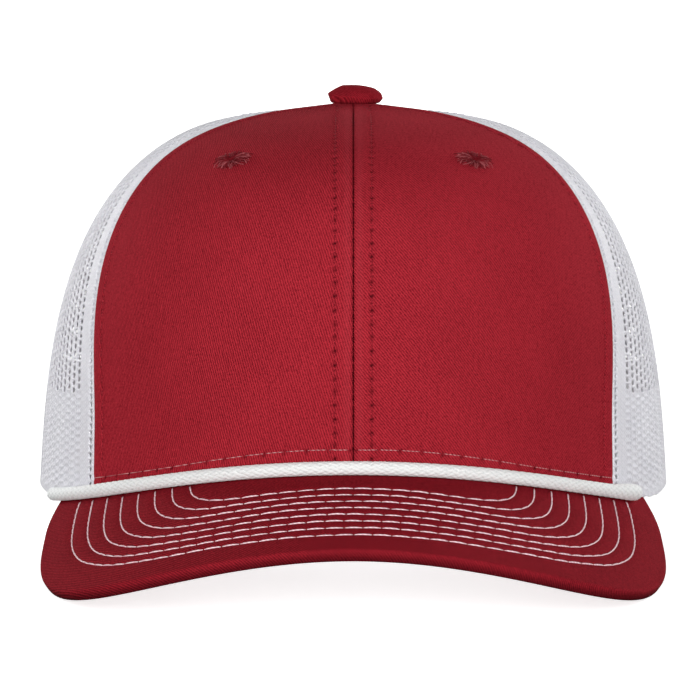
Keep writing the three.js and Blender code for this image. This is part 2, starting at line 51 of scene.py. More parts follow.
# Shoulder power, rise power and taper of the crown in front, at the side and at the back.
CROWN_TURNS = ((3.05, 4.5, -0.085), (3.12, 2.91, 0.072), (2.3, 2.5, 0.05))
FRONT_SEAM_AT_RIM, FRONT_SEAM_AT_TOP, FRONT_SEAM_TURN = 52.3, 59.8, (0.2, 0.95)
TOP_HOLE_RADIUS, CLEARANCE = 2.2, 0.3
PEAK_BEND_RADIUS, PEAK_PITCH, PEAK_ROOT_HEIGHT = 139.0, math.radians(8.5), 15.2
PEAK_END_ANGLE, PEAK_FADE = 65.0, 12.0
FRONT_THICKNESS, FRONT_ROWS, FRONT_MIDDLE = 1.6, 232, 92
EYELET_ANGLE, EYELET_DROP, EYELET_OPENING = 29.4, 10.0, 2.0
SEAM_ROLL, SEAM_STITCH_AT, SEAM_RIDGE, SEAM_DIP = 0.6, 4.6, 0.34, 0.26
EDGE_ROLL, EDGE_STITCH_AT, EDGE_RIDGE, EDGE_DIP = 0.9, 4.6, 0.3, 0.24
PULL_WIDTH, PUCKER_WIDTH, PUCKER_DEPTH = 0.42, 1.6, 0.05
STITCH_PITCH, NEEDLE_WIDTH, NEEDLE_DEPTH, EDGE_NEEDLE_SHARE = 3.4, 0.48, 0.3, 0.3
# The near-black red below is painted shade for needle holes and other hollows.
PAINTED_SHADE_RED = "#2e050a"
TOP_LIFT, TOP_LIFT_REACH, TOP_FADE = 1.75, 14.0, (14, 44)
RIDGE_LIFT, RIDGE_REACH, RIDGE_RISE, RIDGE_START = 0.25, 14.0, (60, 90), (4, 14)
FOOT_MIDDLE, FOOT_SIDE, FOOT_TURN = 5.8, 4.3, (8, 60)
FOOT_PITCH, FOOT_START, FOOT_DIP, FOOT_WIDTH = 5.6, 0.85, 0.2, 0.6
SWELL, RELIEF_WIDTHS = 0.22, (4, 26)
SEAM_COLUMNS = (
    0, 0.12, 0.3, 0.55, 0.85, 1.2, 1.8, 2.6, 3.4, 4.0, 4.35, 4.6, 4.85, 5.2, 6.0, 7.2
)


def smooth(value, low, high):
    """0 up to low, 1 from high on, and a smooth step between them."""
    share = np.clip((value - low) / (high - low), 0, 1)
    return share * share * (3 - 2 * share)


def lerp(start, end, share):
    """start at share 0, end at share 1, and straight between them."""
    return start + (end - start) * share


def bell(offset, width):
    """1 where the offset is 0, and less on both sides: e^-(offset / width)^2."""
    return np.exp(-((offset / width) ** 2))


def on_table(points):
    """Cap millimetres to table metres: turned about X by the pitch the cap rests at, moved to
    its place, and pressed up to the table where it would be under it."""
    x, y, z = np.moveaxis(np.asarray(points, float), -1, 0)
    ahead = y * math.cos(REST_PITCH) - z * math.sin(REST_PITCH)
    height = y * math.sin(REST_PITCH) + z * math.cos(REST_PITCH)
    place = np.stack((x, ahead, height), -1) + REST_PLACE
    place[..., 2] = np.maximum(place[..., 2], 0)
    return place / 1000


def table_height(y):
    """Height of the table under the tilted cap, in the cap's own frame."""
    return (-REST_PLACE[2] - y * math.sin(REST_PITCH)) / math.cos(REST_PITCH)


def crown_turn(azimuth):
    """Shoulder power, rise power and taper at an azimuth: those of the front, side and back
    mixed by the squared cosine and sine."""
    front = np.maximum(np.cos(azimuth), 0) ** 2
    back = np.maximum(-np.cos(azimuth), 0) ** 2
    side = 1 - front - back
    return [front * f + side * s + back * b for f, s, b in zip(*CROWN_TURNS)]


def crown_at(azimuth, rise):
    """Crown face at an azimuth and a height share: the rim's ellipse times
    (1 - rise^power)^(1/shoulder) times (1 - taper rise)."""
    shoulder, power, taper = crown_turn(azimuth)
    level = np.clip(rise, 0, 1)
    reach = (1 - level**power) ** (1 / shoulder) * (1 - taper * level)
    across = RIM_HALF_WIDTH * np.sin(azimuth) * reach
    along = -RIM_HALF_LENGTH * np.cos(azimuth) * reach
    return np.stack((across, along, CROWN_HEIGHT * rise + 0 * across), -1)


def crown_field(points):
    """0 on the crown's face and more outside: reach^shoulder + level^power - 1."""
    x, y, z = np.moveaxis(points, -1, 0)
    shoulder, power, taper = crown_turn(np.arctan2(x / RIM_HALF_WIDTH, -y / RIM_HALF_LENGTH))
    level = np.maximum(z / CROWN_HEIGHT, 0)
    reach = np.hypot(x / RIM_HALF_WIDTH, y / RIM_HALF_LENGTH) / (1 - taper * level)
    return reach**shoulder + level**power - 1


def unit(vectors):
    """Vectors scaled to length 1."""
    return vectors / np.maximum(np.linalg.norm(vectors, axis=-1, keepdims=True), 1e-12)


def crown_slope(points):
    """Gradient of the crown's field, from differences over a hundredth of a millimetre."""
    step = 0.01
    raised = points.copy()
    raised[..., 2] = np.maximum(raised[..., 2], step)
    moves = np.eye(3) * step
    slopes = [crown_field(raised + move) - crown_field(raised - move) for move in moves]
    return np.stack(slopes, -1) / (2 * step)


def off_crown(points, distance):
    """Points of the crown's face moved along its outward normal."""
    return points + unit(crown_slope(points)) * np.asarray(distance)[..., None]


def wall_point(azimuth, z, distance):
    """Point of the crown's wall at a height, moved out level by a distance."""
    point = crown_at(azimuth, z / CROWN_HEIGHT)
    outward = crown_slope(point)
    outward[..., 2] = 0
    return point + unit(outward) * np.asarray(distance)[..., None]


def peak_height(x, y, over):
    """Height of the peak's top face, or of a face that lies over it: a cylinder of the bend
    radius, pitched down forwards."""
    radius = PEAK_BEND_RADIUS + over
    drop = np.sqrt(np.maximum(radius**2 - x**2, 0)) - PEAK_BEND_RADIUS
    forward = (-RIM_HALF_LENGTH - y - drop * math.sin(PEAK_PITCH)) / math.cos(PEAK_PITCH)
    return PEAK_ROOT_HEIGHT - forward * math.sin(PEAK_PITCH) + drop * math.cos(PEAK_PITCH)


def lower_edge(azimuth, distance, over):
    """Point of the crown's lower edge, a distance out of its face: on the peak in front, and
    down to z = 0 with a smooth step behind the peak's ends."""
    fade = 1 - smooth(np.abs(np.degrees(azimuth)), PEAK_END_ANGLE, PEAK_END_ANGLE + PEAK_FADE)
    point = wall_point(azimuth, 0 * azimuth, distance + 0 * azimuth)
    for _ in range(8):
        z = peak_height(point[..., 0], point[..., 1], over) * fade
        point = wall_point(azimuth, np.maximum(z, 0), distance + 0 * azimuth)
        point[..., 2] = np.maximum(z, np.where(fade > 0, z, table_height(point[..., 1])))
    return point


def middle_seam(rise):
    """Azimuth of the middle seam."""
    return 0 * rise


def front_seam(rise):
    """Azimuth of the seam between a front panel and the net, which turns back as it rises."""
    share = smooth(rise, *FRONT_SEAM_TURN)
    return np.radians(lerp(FRONT_SEAM_AT_RIM, FRONT_SEAM_AT_TOP, share))


def hole_rise(azimuth, radius):
    """Height share at which the crown's face has closed in to a radius round the top."""
    shoulder, power, taper = crown_turn(azimuth)
    span = np.hypot(RIM_HALF_WIDTH * np.sin(azimuth), RIM_HALF_LENGTH * np.cos(azimuth))
    return (1 - (radius / span / (1 - taper)) ** shoulder) ** (1 / power)


def path_lengths(points):
    """Distance along each path of points, from 0 at its first point."""
    steps = np.linalg.norm(np.diff(points, axis=-2), axis=-1)
    return np.concatenate((np.zeros_like(steps[..., :1]), np.cumsum(steps, -1)), -1)


def panel_grid(seam_from, seam_to, beside, middle, rows):
    """Grid of a crown panel between two seams. Columns keep the distances beside from each
    seam, with even ones between, and shrink where the panel is narrow. Rows are evenly spaced
    up each column. Returns the points, and for each the millimetres from the first seam, to
    the second one, and up from the lower edge."""
    shares = np.linspace(0, 1, 33)
    rim = lerp(seam_from(0.0), seam_to(0.0), shares)
    top = lerp(seam_from(1.0), seam_to(1.0), shares)
    low = np.maximum(lower_edge(rim, 0, CLEARANCE)[:, 2], 0) / CROWN_HEIGHT
    high = hole_rise(top, TOP_HOLE_RADIUS)
    walk = lerp(np.arcsin(low / high)[:, None], math.pi / 2, np.linspace(0, 1, 260))
    walk_rise = high[:, None] * np.sin(walk)
    turn = lerp(seam_from(walk_rise), seam_to(walk_rise), shares[:, None])
    lengths = path_lengths(crown_at(turn, walk_rise))
    row_share = np.linspace(0, 1, rows)
    row_rise = np.array([np.interp(row_share * n[-1], n, r) for n, r in zip(lengths, walk_rise)])
    spots = crown_at(lerp(seam_from(row_rise), seam_to(row_rise), shares[:, None]), row_rise)
    gone = path_lengths(spots.transpose(1, 0, 2))
    width = gone[:, -1]
    beside = np.array(beside, float)
    squeeze = np.minimum(1, width / (2 * beside[-1] + 6))[:, None]
    width = width[:, None]
    inner = np.linspace(0, 1, middle + 2)[1:-1]
    inner = lerp(beside[-1] * squeeze, width - beside[-1] * squeeze, inner)
    across = np.hstack((beside * squeeze, inner, width - beside[::-1] * squeeze))
    share = np.array([np.interp(a, g, shares) for a, g in zip(across, gone)])
    rise = np.array([np.interp(s, shares, r) for s, r in zip(share, row_rise.T)])
    length = np.interp(share, shares, lengths[:, -1])
    points = crown_at(lerp(seam_from(rise), seam_to(rise), share), rise)
    return points, across, width - across, length * row_share[:, None]


def grid_faces(rows, columns, closed=False):
    """Four-sided faces of a grid of vertices numbered row by row. Where it is closed, the last
    column joins the first one."""
    last = columns if closed else columns - 1
    row, column = np.meshgrid(np.arange(rows - 1), np.arange(last), indexing="ij")
    after = (column + 1) % columns
    corners = (row * columns + column, row * columns + after)
    above = ((row + 1) * columns + after, (row + 1) * columns + column)
    return np.stack((*corners, *above), -1).reshape(-1, 4)


def joined(parts):
    """Several pairs of points and faces as one pair, with the faces numbered on."""
    points, faces, count = [], [], 0
    for part_points, part_faces in parts:
        flat = part_points.reshape(-1, 3)
        faces += [[vertex + count for vertex in face] for face in part_faces]
        points.append(flat)
        count += len(flat)
    return np.concatenate(points), faces


def mirrored(points, faces):
    """Right-hand points and faces turned into left-hand ones, which face outwards again."""
    return points * (-1.0, 1.0, 1.0), [face[::-1] for face in faces]


def make_piece(name, points, faces, slot, nodes=(), uv=None, **shades):
    """A piece on the cap's body from points in cap millimetres. uv and shades are given for
    each point, as a map named cloth and as attributes."""
    mesh = bpy.data.meshes.new(name)
    flat = on_table(points).reshape(-1, 3)
    mesh.from_pydata(flat, [], faces if isinstance(faces, list) else faces.tolist())
    corner = np.empty(len(mesh.loops), int)
    mesh.loops.foreach_get("vertex_index", corner)
    if uv is not None:
        layer = mesh.uv_layers.new(name="cloth")
        layer.data.foreach_set("uv", uv.reshape(-1, 2)[corner].astype(np.float32).ravel())
    for key, values in shades.items():
        shade = mesh.attributes.new(key, "FLOAT", "POINT")
        shade.data.foreach_set("value", np.ravel(values).astype(np.float32))
    mesh.shade_smooth()
    piece = bpy.data.objects.new(name, mesh)
    bpy.context.scene.collection.objects.link(piece)
    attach(piece, "root")
    if nodes:
        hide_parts(*nodes)
    return piece


def thicken(piece, thickness):
    """Gives a sheet its thickness, inwards from its face."""
    wall = piece.modifiers.new("thickness", "SOLIDIFY")
    wall.thickness = thickness / 1000
    wall.offset = -1


def linear(code):
    """sRGB hex to linear RGBA: v / 12.92 up to 0.04045, else ((v + 0.055) / 1.055)^2.4."""
    parts = np.array([int(code[i : i + 2], 16) for i in (1, 3, 5)]) / 255
    curve = ((parts + 0.055) / 1.055) ** 2.4
    return (*np.where(parts <= 0.04045, parts / 12.92, curve).tolist(), 1.0)


def add_node(tree, kind, inputs, output=0, **settings):
    """Adds a shader node, sets its properties, sets or links its inputs, and gives back one of
    its outputs."""
    node = tree.nodes.new("ShaderNode" + kind)
    for key, value in settings.items():
        setattr(node, key, value)
    for key, value in inputs.items():
        if isinstance(value, bpy.types.NodeSocket):
            tree.links.new(value, node.inputs[key])
        else:
            node.inputs[key].default_value = value
    return node.outputs[output] if node.outputs else None


def finish_material(name, fill, depth, **surface):
    """A material whose colour and height come from fill(tree), which gives two sockets. depth
    is the bump in millimetres, and surface holds the shader's own constants."""
    material = bpy.data.materials.new(name)
    material.use_nodes = True
    tree = material.node_tree
    tree.nodes.clear()
    colour, height = fill(tree)
    bump = add_node(tree, "Bump", {"Height": height, "Distance": depth / 1000, "Strength": 1.0})
    inputs = {"Base Color": colour, "Normal": bump}
    inputs.update({key.replace("_", " "): value for key, value in surface.items()})
    add_node(tree, "OutputMaterial", {"Surface": add_node(tree, "BsdfPrincipled", inputs)})
    return material


def wave_lines(tree, place, period, angle, shift=0.0):
    """Sine lines from 0 to 1 across a map in millimetres: 0.5 + 0.5 sin(2 pi (x cos + y sin) /
    period + shift)."""
    turn = 2 * math.pi / period
    way = (turn * math.cos(angle), turn * math.sin(angle), 0.0)
    phase = add_node(tree, "VectorMath", {0: place, 1: way}, "Value", operation="DOT_PRODUCT")
    phase = add_node(tree, "Math", {0: phase, 1: shift}, operation="ADD")
    lines = add_node(tree, "Math", {0: phase}, operation="SINE")
    return add_node(tree, "Math", {0: lines, 1: 0.5, 2: 0.5}, operation="MULTIPLY_ADD")


def cotton_twill(name, dark, light, worn, line_angle, pitch=0.62):
    """Cotton twill: raised diagonal lines of warp floats, cut across by finer weft, with slubs,
    fuzz and broad changes of dye, so the cloth looks dull, grainy and a little uneven. It is
    paler where the attribute for wear and shade is high, which is wear, and mixed towards a
    near-black red where it is below 0, which is painted shade in needle holes and hollows. The
    third colour is that of rubbed cloth.
    Real lines are about 0.45 mm apart, and pitch draws them coarser, so that they show."""

    def fill(tree):
        place = add_node(tree, "UVMap", {}, uv_map="cloth")
        drift = add_node(tree, "TexNoise", {"Vector": place, "Scale": 0.35, "Detail": 1.0})
        jitter = add_node(tree, "TexNoise", {"Vector": place, "Scale": 0.8, "Detail": 2.0})
        bend = add_node(tree, "Math", {0: drift, 1: 1.2}, operation="MULTIPLY")
        bend = add_node(tree, "Math", {0: jitter, 1: 3.6, 2: bend}, operation="MULTIPLY_ADD")
        lines = wave_lines(tree, place, pitch, line_angle, bend)
        weft = wave_lines(tree, place, 0.43, line_angle + 1.25, bend)
        long_way = add_node(tree, "Mapping", {"Vector": place, "Scale": (1.6, 0.16, 1.0)})
        slub = add_node(tree, "TexNoise", {"Vector": long_way, "Scale": 1.0, "Detail": 2.0})
        fuzz = add_node(tree, "TexNoise", {"Vector": place, "Scale": 1.9, "Detail": 3.0})
        breaks = add_node(tree, "TexNoise", {"Vector": place, "Scale": 0.9, "Detail": 2.0})
        cloud = add_node(tree, "TexNoise", {"Vector": place, "Scale": 0.045, "Detail": 3.0})
        strength = add_node(tree, "Math", {0: breaks, 1: 1.3, 2: 0.06}, operation="MULTIPLY_ADD")
        woven = add_node(tree, "Math", {0: lines, 1: strength}, operation="MULTIPLY")
        woven = add_node(tree, "Math", {0: weft, 1: 0.16, 2: woven}, operation="MULTIPLY_ADD")
        height = add_node(tree, "Math", {0: fuzz, 1: 1.35, 2: woven}, operation="MULTIPLY_ADD")
        tone = add_node(tree, "Math", {0: slub, 1: 0.4, 2: height}, operation="MULTIPLY_ADD")
        tone = add_node(tree, "Math", {0: cloud, 1: 0.3, 2: tone}, operation="MULTIPLY_ADD")
        share = add_node(tree, "MapRange", {"Value": tone, "From Min": 0.85, "From Max": 1.95})
        dyes = {"Factor": share, "A": linear(dark), "B": linear(light)}
        dyed = add_node(tree, "Mix", dyes, "Result", data_type="RGBA")
        rub_and_shade = add_node(tree, "Attribute", {}, "Fac", attribute_name="worn")
        pale = add_node(tree, "Math", {0: rub_and_shade, 1: 0.5}, operation="MULTIPLY")
        rubs = {"Factor": pale, "A": dyed, "B": linear(worn)}
        rubbed = add_node(tree, "Mix", rubs, "Result", data_type="RGBA")
        # Painted shade: below 0 the attribute mixes the cloth towards a near-black red, in needle
        # holes, the middle seam, under the peak's roll and round the button's foot.
        pit_shade = add_node(tree, "Math", {0: rub_and_shade, 1: -0.9}, operation="MULTIPLY")
        pit_shades = {"Factor": pit_shade, "A": rubbed, "B": linear(PAINTED_SHADE_RED)}
        return add_node(tree, "Mix", pit_shades, "Result", data_type="RGBA"), height

    return finish_material(name, fill, 0.17, Roughness=0.95, IOR=1.45, Specular_IOR_Level=0.01)


def seam_relief(distance, roll, stitch_at, ridge, dip, along):
    """Height of cloth beside a seam: a quarter round of radius roll down into it, a ridge as
    far as the stitches, a dip under them, and puckers that run out from each stitch."""
    inside = np.clip(roll - distance, 0, roll)
    fall = roll - np.sqrt(np.maximum(roll**2 - inside**2, 0))
    raised = ridge * (1 - smooth(distance, stitch_at - 0.1, stitch_at + 1.0))
    pulled = bell(distance - stitch_at, PULL_WIDTH)
    beat = np.cos(along * 2 * math.pi / STITCH_PITCH)
    pucker = beat * bell(distance - stitch_at, PUCKER_WIDTH)
    return raised - fall - dip * pulled - PUCKER_DEPTH * pucker


def needle_holes(distance, stitch_at, along):
    """1 in the needle's holes, which lie between stitches along a line, and 0 elsewhere. They
    are drawn about 0.8 mm wide, half as wide again as real ones, so that they show."""
    beat = np.clip(np.cos(along * 2 * math.pi / STITCH_PITCH), 0, 1)
    return bell(distance - stitch_at, NEEDLE_WIDTH) * beat**3


eyelet_rise = (CROWN_HEIGHT - EYELET_DROP) / CROWN_HEIGHT
eyelet_spot = crown_at(np.array(math.radians(EYELET_ANGLE)), np.array(eyelet_rise))
front = panel_grid(middle_seam, front_seam, SEAM_COLUMNS, FRONT_MIDDLE, FRONT_ROWS)
front_points, from_middle, to_edge, climb = front

# The height of the cloth: both seams, the foot's row and its holes, and a low swell.
relief = seam_relief(from_middle, SEAM_ROLL, SEAM_STITCH_AT, SEAM_RIDGE, SEAM_DIP, climb)
relief += seam_relief(to_edge, EDGE_ROLL, EDGE_STITCH_AT, EDGE_RIDGE, EDGE_DIP, climb)
over_foot = climb - lerp(FOOT_MIDDLE, FOOT_SIDE, smooth(from_middle, *FOOT_TURN))
relief -= FOOT_DIP * bell(over_foot, FOOT_WIDTH)
foot_length = from_middle[10, -4] - FOOT_START
foot_pitch = foot_length / round(foot_length / FOOT_PITCH)
foot_phase = (from_middle - FOOT_START) * 2 * math.pi / foot_pitch
foot_hole_shade = np.clip(np.cos(foot_phase), 0, 1) ** 8 * bell(over_foot + 0.25, 0.5)
holes = needle_holes(from_middle, SEAM_STITCH_AT, climb)
holes += EDGE_NEEDLE_SHARE * needle_holes(to_edge, EDGE_STITCH_AT, climb)
relief -= NEEDLE_DEPTH * holes
swell = np.sin(from_middle / 11.0 + climb / 23.0) * np.sin(climb / 17.0 - from_middle / 29.0)
narrow = smooth(to_edge[:, :1] + from_middle[:, :1], *RELIEF_WIDTHS)
relief = (relief + SWELL * swell) * narrow

# The stiff top stands up round the button and along the outer seam, so it hides the net.
from_top = np.hypot(front_points[..., 0], front_points[..., 1])
relief += TOP_LIFT * bell(from_top, TOP_LIFT_REACH)
ridge = smooth(front_points[..., 2], *RIDGE_RISE) * bell(to_edge, RIDGE_REACH)
ridge *= 1 - smooth(front_points[..., 0], *TOP_FADE)
relief += RIDGE_LIFT * ridge * smooth(from_top, *RIDGE_START)
front_face = off_crown(front_points, relief)

# Pale where the folds rub, which is wear; dark in the needle holes, in the foot's holes and down
# in the middle seam, which is painted shade.
worn = bell(from_middle - 1.5, 0.9) * 0.5 + bell(to_edge - 0.9, 0.6) * 0.6
ragged_seam_shade = 0.6 + 0.4 * np.sin(climb * 1.9) * np.sin(climb * 0.61)
worn = worn * 0.6 - 1.15 * holes - foot_hole_shade - 0.75 * ragged_seam_shade * bell(from_middle, 0.46)
front_uv = np.stack((from_middle, climb), -1)
quads = grid_faces(*from_middle.shape)
centres = front_face.reshape(-1, 3)[quads].mean(1)
quads = quads[np.linalg.norm(centres - eyelet_spot, axis=-1) > EYELET_OPENING].tolist()
for hand, line_angle, shape, faces in (
    ("right", 0.7, front_face, quads), ("left", -0.3, *mirrored(front_face, quads))
):
    panel = make_piece(
        f"front_twill_{hand}", shape, faces, "front_twill", [f"front_panel_{hand}"],
        front_uv, worn=worn,
    )
    thicken(panel, FRONT_THICKNESS)
    panel.data.materials.append(cotton_twill(
        f"red cotton twill, {hand} panel", "#6e131d", "#bc303c", "#b8424c", line_angle
    ))


# Seam stitches on the front panels. Polyester thread, dark red up the seams and pale pink
# above the rope, sewn by machine in a lock stitch that dips into the cloth at each end.
SEAM_STITCH_SHARE, SEAM_THREAD_RADIUS = 0.68, 0.15
FOOT_STITCH_SHARE, FOOT_THREAD_RADIUS, FOOT_STITCH_LIFT = 0.86, 0.12, 0.02
STITCHES_FROM, STITCHES_TO_BUTTON = 5.5, 8.5


def thread_tubes(centre, up, radius, sides=6):
    """Closed tubes, one for each row of centre points: a ring round every point, of its radius,
    square to the way that the row runs."""
    count, steps = centre.shape[:2]
    ahead = unit(np.gradient(centre, axis=1))
    aside = unit(np.cross(ahead, up))
    turn = np.linspace(0, 2 * math.pi, sides, endpoint=False)
    ring = aside[:, :, None] * np.cos(turn)[:, None] + up[:, :, None] * np.sin(turn)[:, None]
    points = centre[:, :, None] + ring * (radius + np.zeros((count, steps)))[..., None, None]
    one = grid_faces(steps, sides, closed=True)[:, ::-1]
    start = np.arange(count) * steps * sides
    faces = (one[None] + start[:, None, None]).reshape(-1, 4).tolist()
    near, far = np.arange(sides), np.arange(sides)[::-1] + (steps - 1) * sides
    faces += (near[None] + start[:, None]).tolist() + (far[None] + start[:, None]).tolist()
    return points, faces


def stitch_run(path, outward, pitch, share, radius, lift=0.12, steps=6):
    """Tubes of thread along a path. Each stitch covers a share of the pitch, rises over the
    cloth by lift times the root of a sine, and thins at its ends."""
    gone = path_lengths(path)
    count = max(int(gone[-1] / pitch), 1)
    along = np.linspace(0, 1, steps)
    where = (np.arange(count)[:, None] + 0.5 + (along - 0.5) * share) * gone[-1] / count
    centre = np.stack([np.interp(where, gone, path[:, k]) for k in range(3)], -1)
    up = unit(np.stack([np.interp(where, gone, outward[:, k]) for k in range(3)], -1))
    hump = np.sin(math.pi * np.clip(along, 0.03, 0.97)) ** 0.22
    centre = centre + up * (hump * (lift + radius) - radius)[None, :, None]
    return thread_tubes(centre, up, radius * (0.6 + 0.4 * hump))


def sewing_thread(name, colour, shade):
    """Two-ply polyester thread: a slanting twist, with a soft shine. The plies are drawn 1.2 mm
    apart, three times as coarse as real ones, so that they show."""

    def fill(tree):
        place = add_node(tree, "TexCoord", {}, "Object")
        ply = add_node(
            tree, "TexWave", {"Vector": place, "Scale": 520.0, "Distortion": 1.0}, "Fac",
            bands_direction="DIAGONAL",
        )
        tuft = add_node(tree, "TexNoise", {"Vector": place, "Scale": 900.0})
        height = add_node(tree, "Math", {0: tuft, 1: 0.4, 2: ply}, operation="MULTIPLY_ADD")
        yarns = {"Factor": ply, "A": linear(shade), "B": linear(colour)}
        return add_node(tree, "Mix", yarns, "Result", data_type="RGBA"), height

    return finish_material(name, fill, 0.08, Roughness=0.75, IOR=1.5, Specular_IOR_Level=0.05)


def outward_at(points):
    """Outward direction of the crown at points near its face."""
    return unit(crown_slope(points))


def both_hands(parts):
    """Pairs of points and faces for the right hand, and the same again for the left."""
    return parts + [mirrored(*part) for part in parts]


def sew(name, runs, slot, thread):
    """Makes one piece of runs of stitches, in a thread."""
    make_piece(name, *joined(runs), slot).data.materials.append(thread)


foot_row = np.array(
    [[np.interp(0, c, p) for p in column.T]
     for c, column in zip(over_foot.T, front_face.transpose(1, 0, 2))]
)
foot_row = foot_row[SEAM_COLUMNS.index(FOOT_START) : -3]
above_rope = climb[:, 0] > STITCHES_FROM
beside_button = np.hypot(front_face[..., 0], front_face[..., 1]) > STITCHES_TO_BUTTON
seam_runs = []
for column in (SEAM_COLUMNS.index(SEAM_STITCH_AT), -1 - SEAM_COLUMNS.index(EDGE_STITCH_AT)):
    shown = above_rope & beside_button[:, column]
    first = math.ceil(climb[shown, column][0] / STITCH_PITCH) * STITCH_PITCH
    path = front_face[shown, column][climb[shown, column] >= first]
    seam_runs.append(stitch_run(
        path, outward_at(path), STITCH_PITCH, SEAM_STITCH_SHARE, SEAM_THREAD_RADIUS, 0.0
    ))
foot_runs = [stitch_run(
    foot_row, outward_at(foot_row), foot_pitch - 0.02, FOOT_STITCH_SHARE, FOOT_THREAD_RADIUS,
    FOOT_STITCH_LIFT,
)]
dark_thread = sewing_thread("dark red polyester thread", "#a42c38", "#6e131d")
rose_thread = sewing_thread("dull rose polyester thread", "#d09a9c", "#96474e")
pink_thread = sewing_thread("pale pink polyester thread", "#fbe6ea", "#e6b6c1")
sew("front_seam_stitches", both_hands(seam_runs), "front_twill", dark_thread)
sew("foot_stitches", both_hands(foot_runs), "front_twill", rose_thread)


# Net panels. White polyester net, knitted with rows of small oval holes that run alongside
# the seams. Four panels: one at each side and two at the back, doubled along every seam.
BACK_SEAM = math.radians(117.0)
HOLE_SPACING, HOLE_PERIOD = 4.2, 1.96
HOLE_WIDE, HOLE_TALL, SMALL_HOLE_WIDE = 0.32, 0.33, 0.24
FRONT_COLUMNS = (0, 3.4, 5.8, 8.4)
BACK_COLUMNS = (0, 2.8, 5.4)
FRONT_CLOSED, BACK_CLOSED, FAR_CLOSED = (3.4, 8.4), (0.0, 5.4), 4.0
NET_THICKNESS = 0.35
NET_SAG, SAG_RISE, SAG_OFF_BUTTON, SAG_BACK = 1.6, (66, 92), (5, 12), (-8, 32)
RIM_HEM, BUTTON_HEM, BACKED_HEIGHT, BACKED_DENT, HOLE_DENT = 2.0, 9.0, 28.0, 0.32, 0.05
NET_ROLL, NET_STITCH_AT, NET_RIDGE, NET_DIP, NET_TOP_LIFT = 0.7, 2.4, 0.18, 0.15, 0.3
ARCH_HALF_WIDTH, ARCH_HEIGHT, ARCH_HEM = 42.0, 47.0, 1.5
OUTLINE = np.array(((0, 0), (1, 0), (2, 0), (2, 1), (2, 2), (1, 2), (0, 2), (0, 1)))
HOLE_SHAPE = np.array(
    ((-0.68, -0.8), (0, -1), (0.68, -0.8), (1, 0), (0.68, 0.8), (0, 1), (-0.68, 0.8), (-1, 0))
)


def back_seam(rise):
    """Azimuth of the seam between the side and back net."""
    return BACK_SEAM + 0 * rise


def rear_seam(rise):
    """Azimuth of the seam up the middle of the back."""
    return math.pi + 0 * rise


def net_sag(points):
    """How far the soft net hangs in behind the top of the stiff front panels."""
    x, y, z = np.moveaxis(points, -1, 0)
    high = smooth(z, *SAG_RISE) * smooth(np.hypot(x, y), *SAG_OFF_BUTTON)
    return NET_SAG * high * (1 - smooth(y, *SAG_BACK)) * (1 - smooth(np.abs(x), *TOP_FADE))


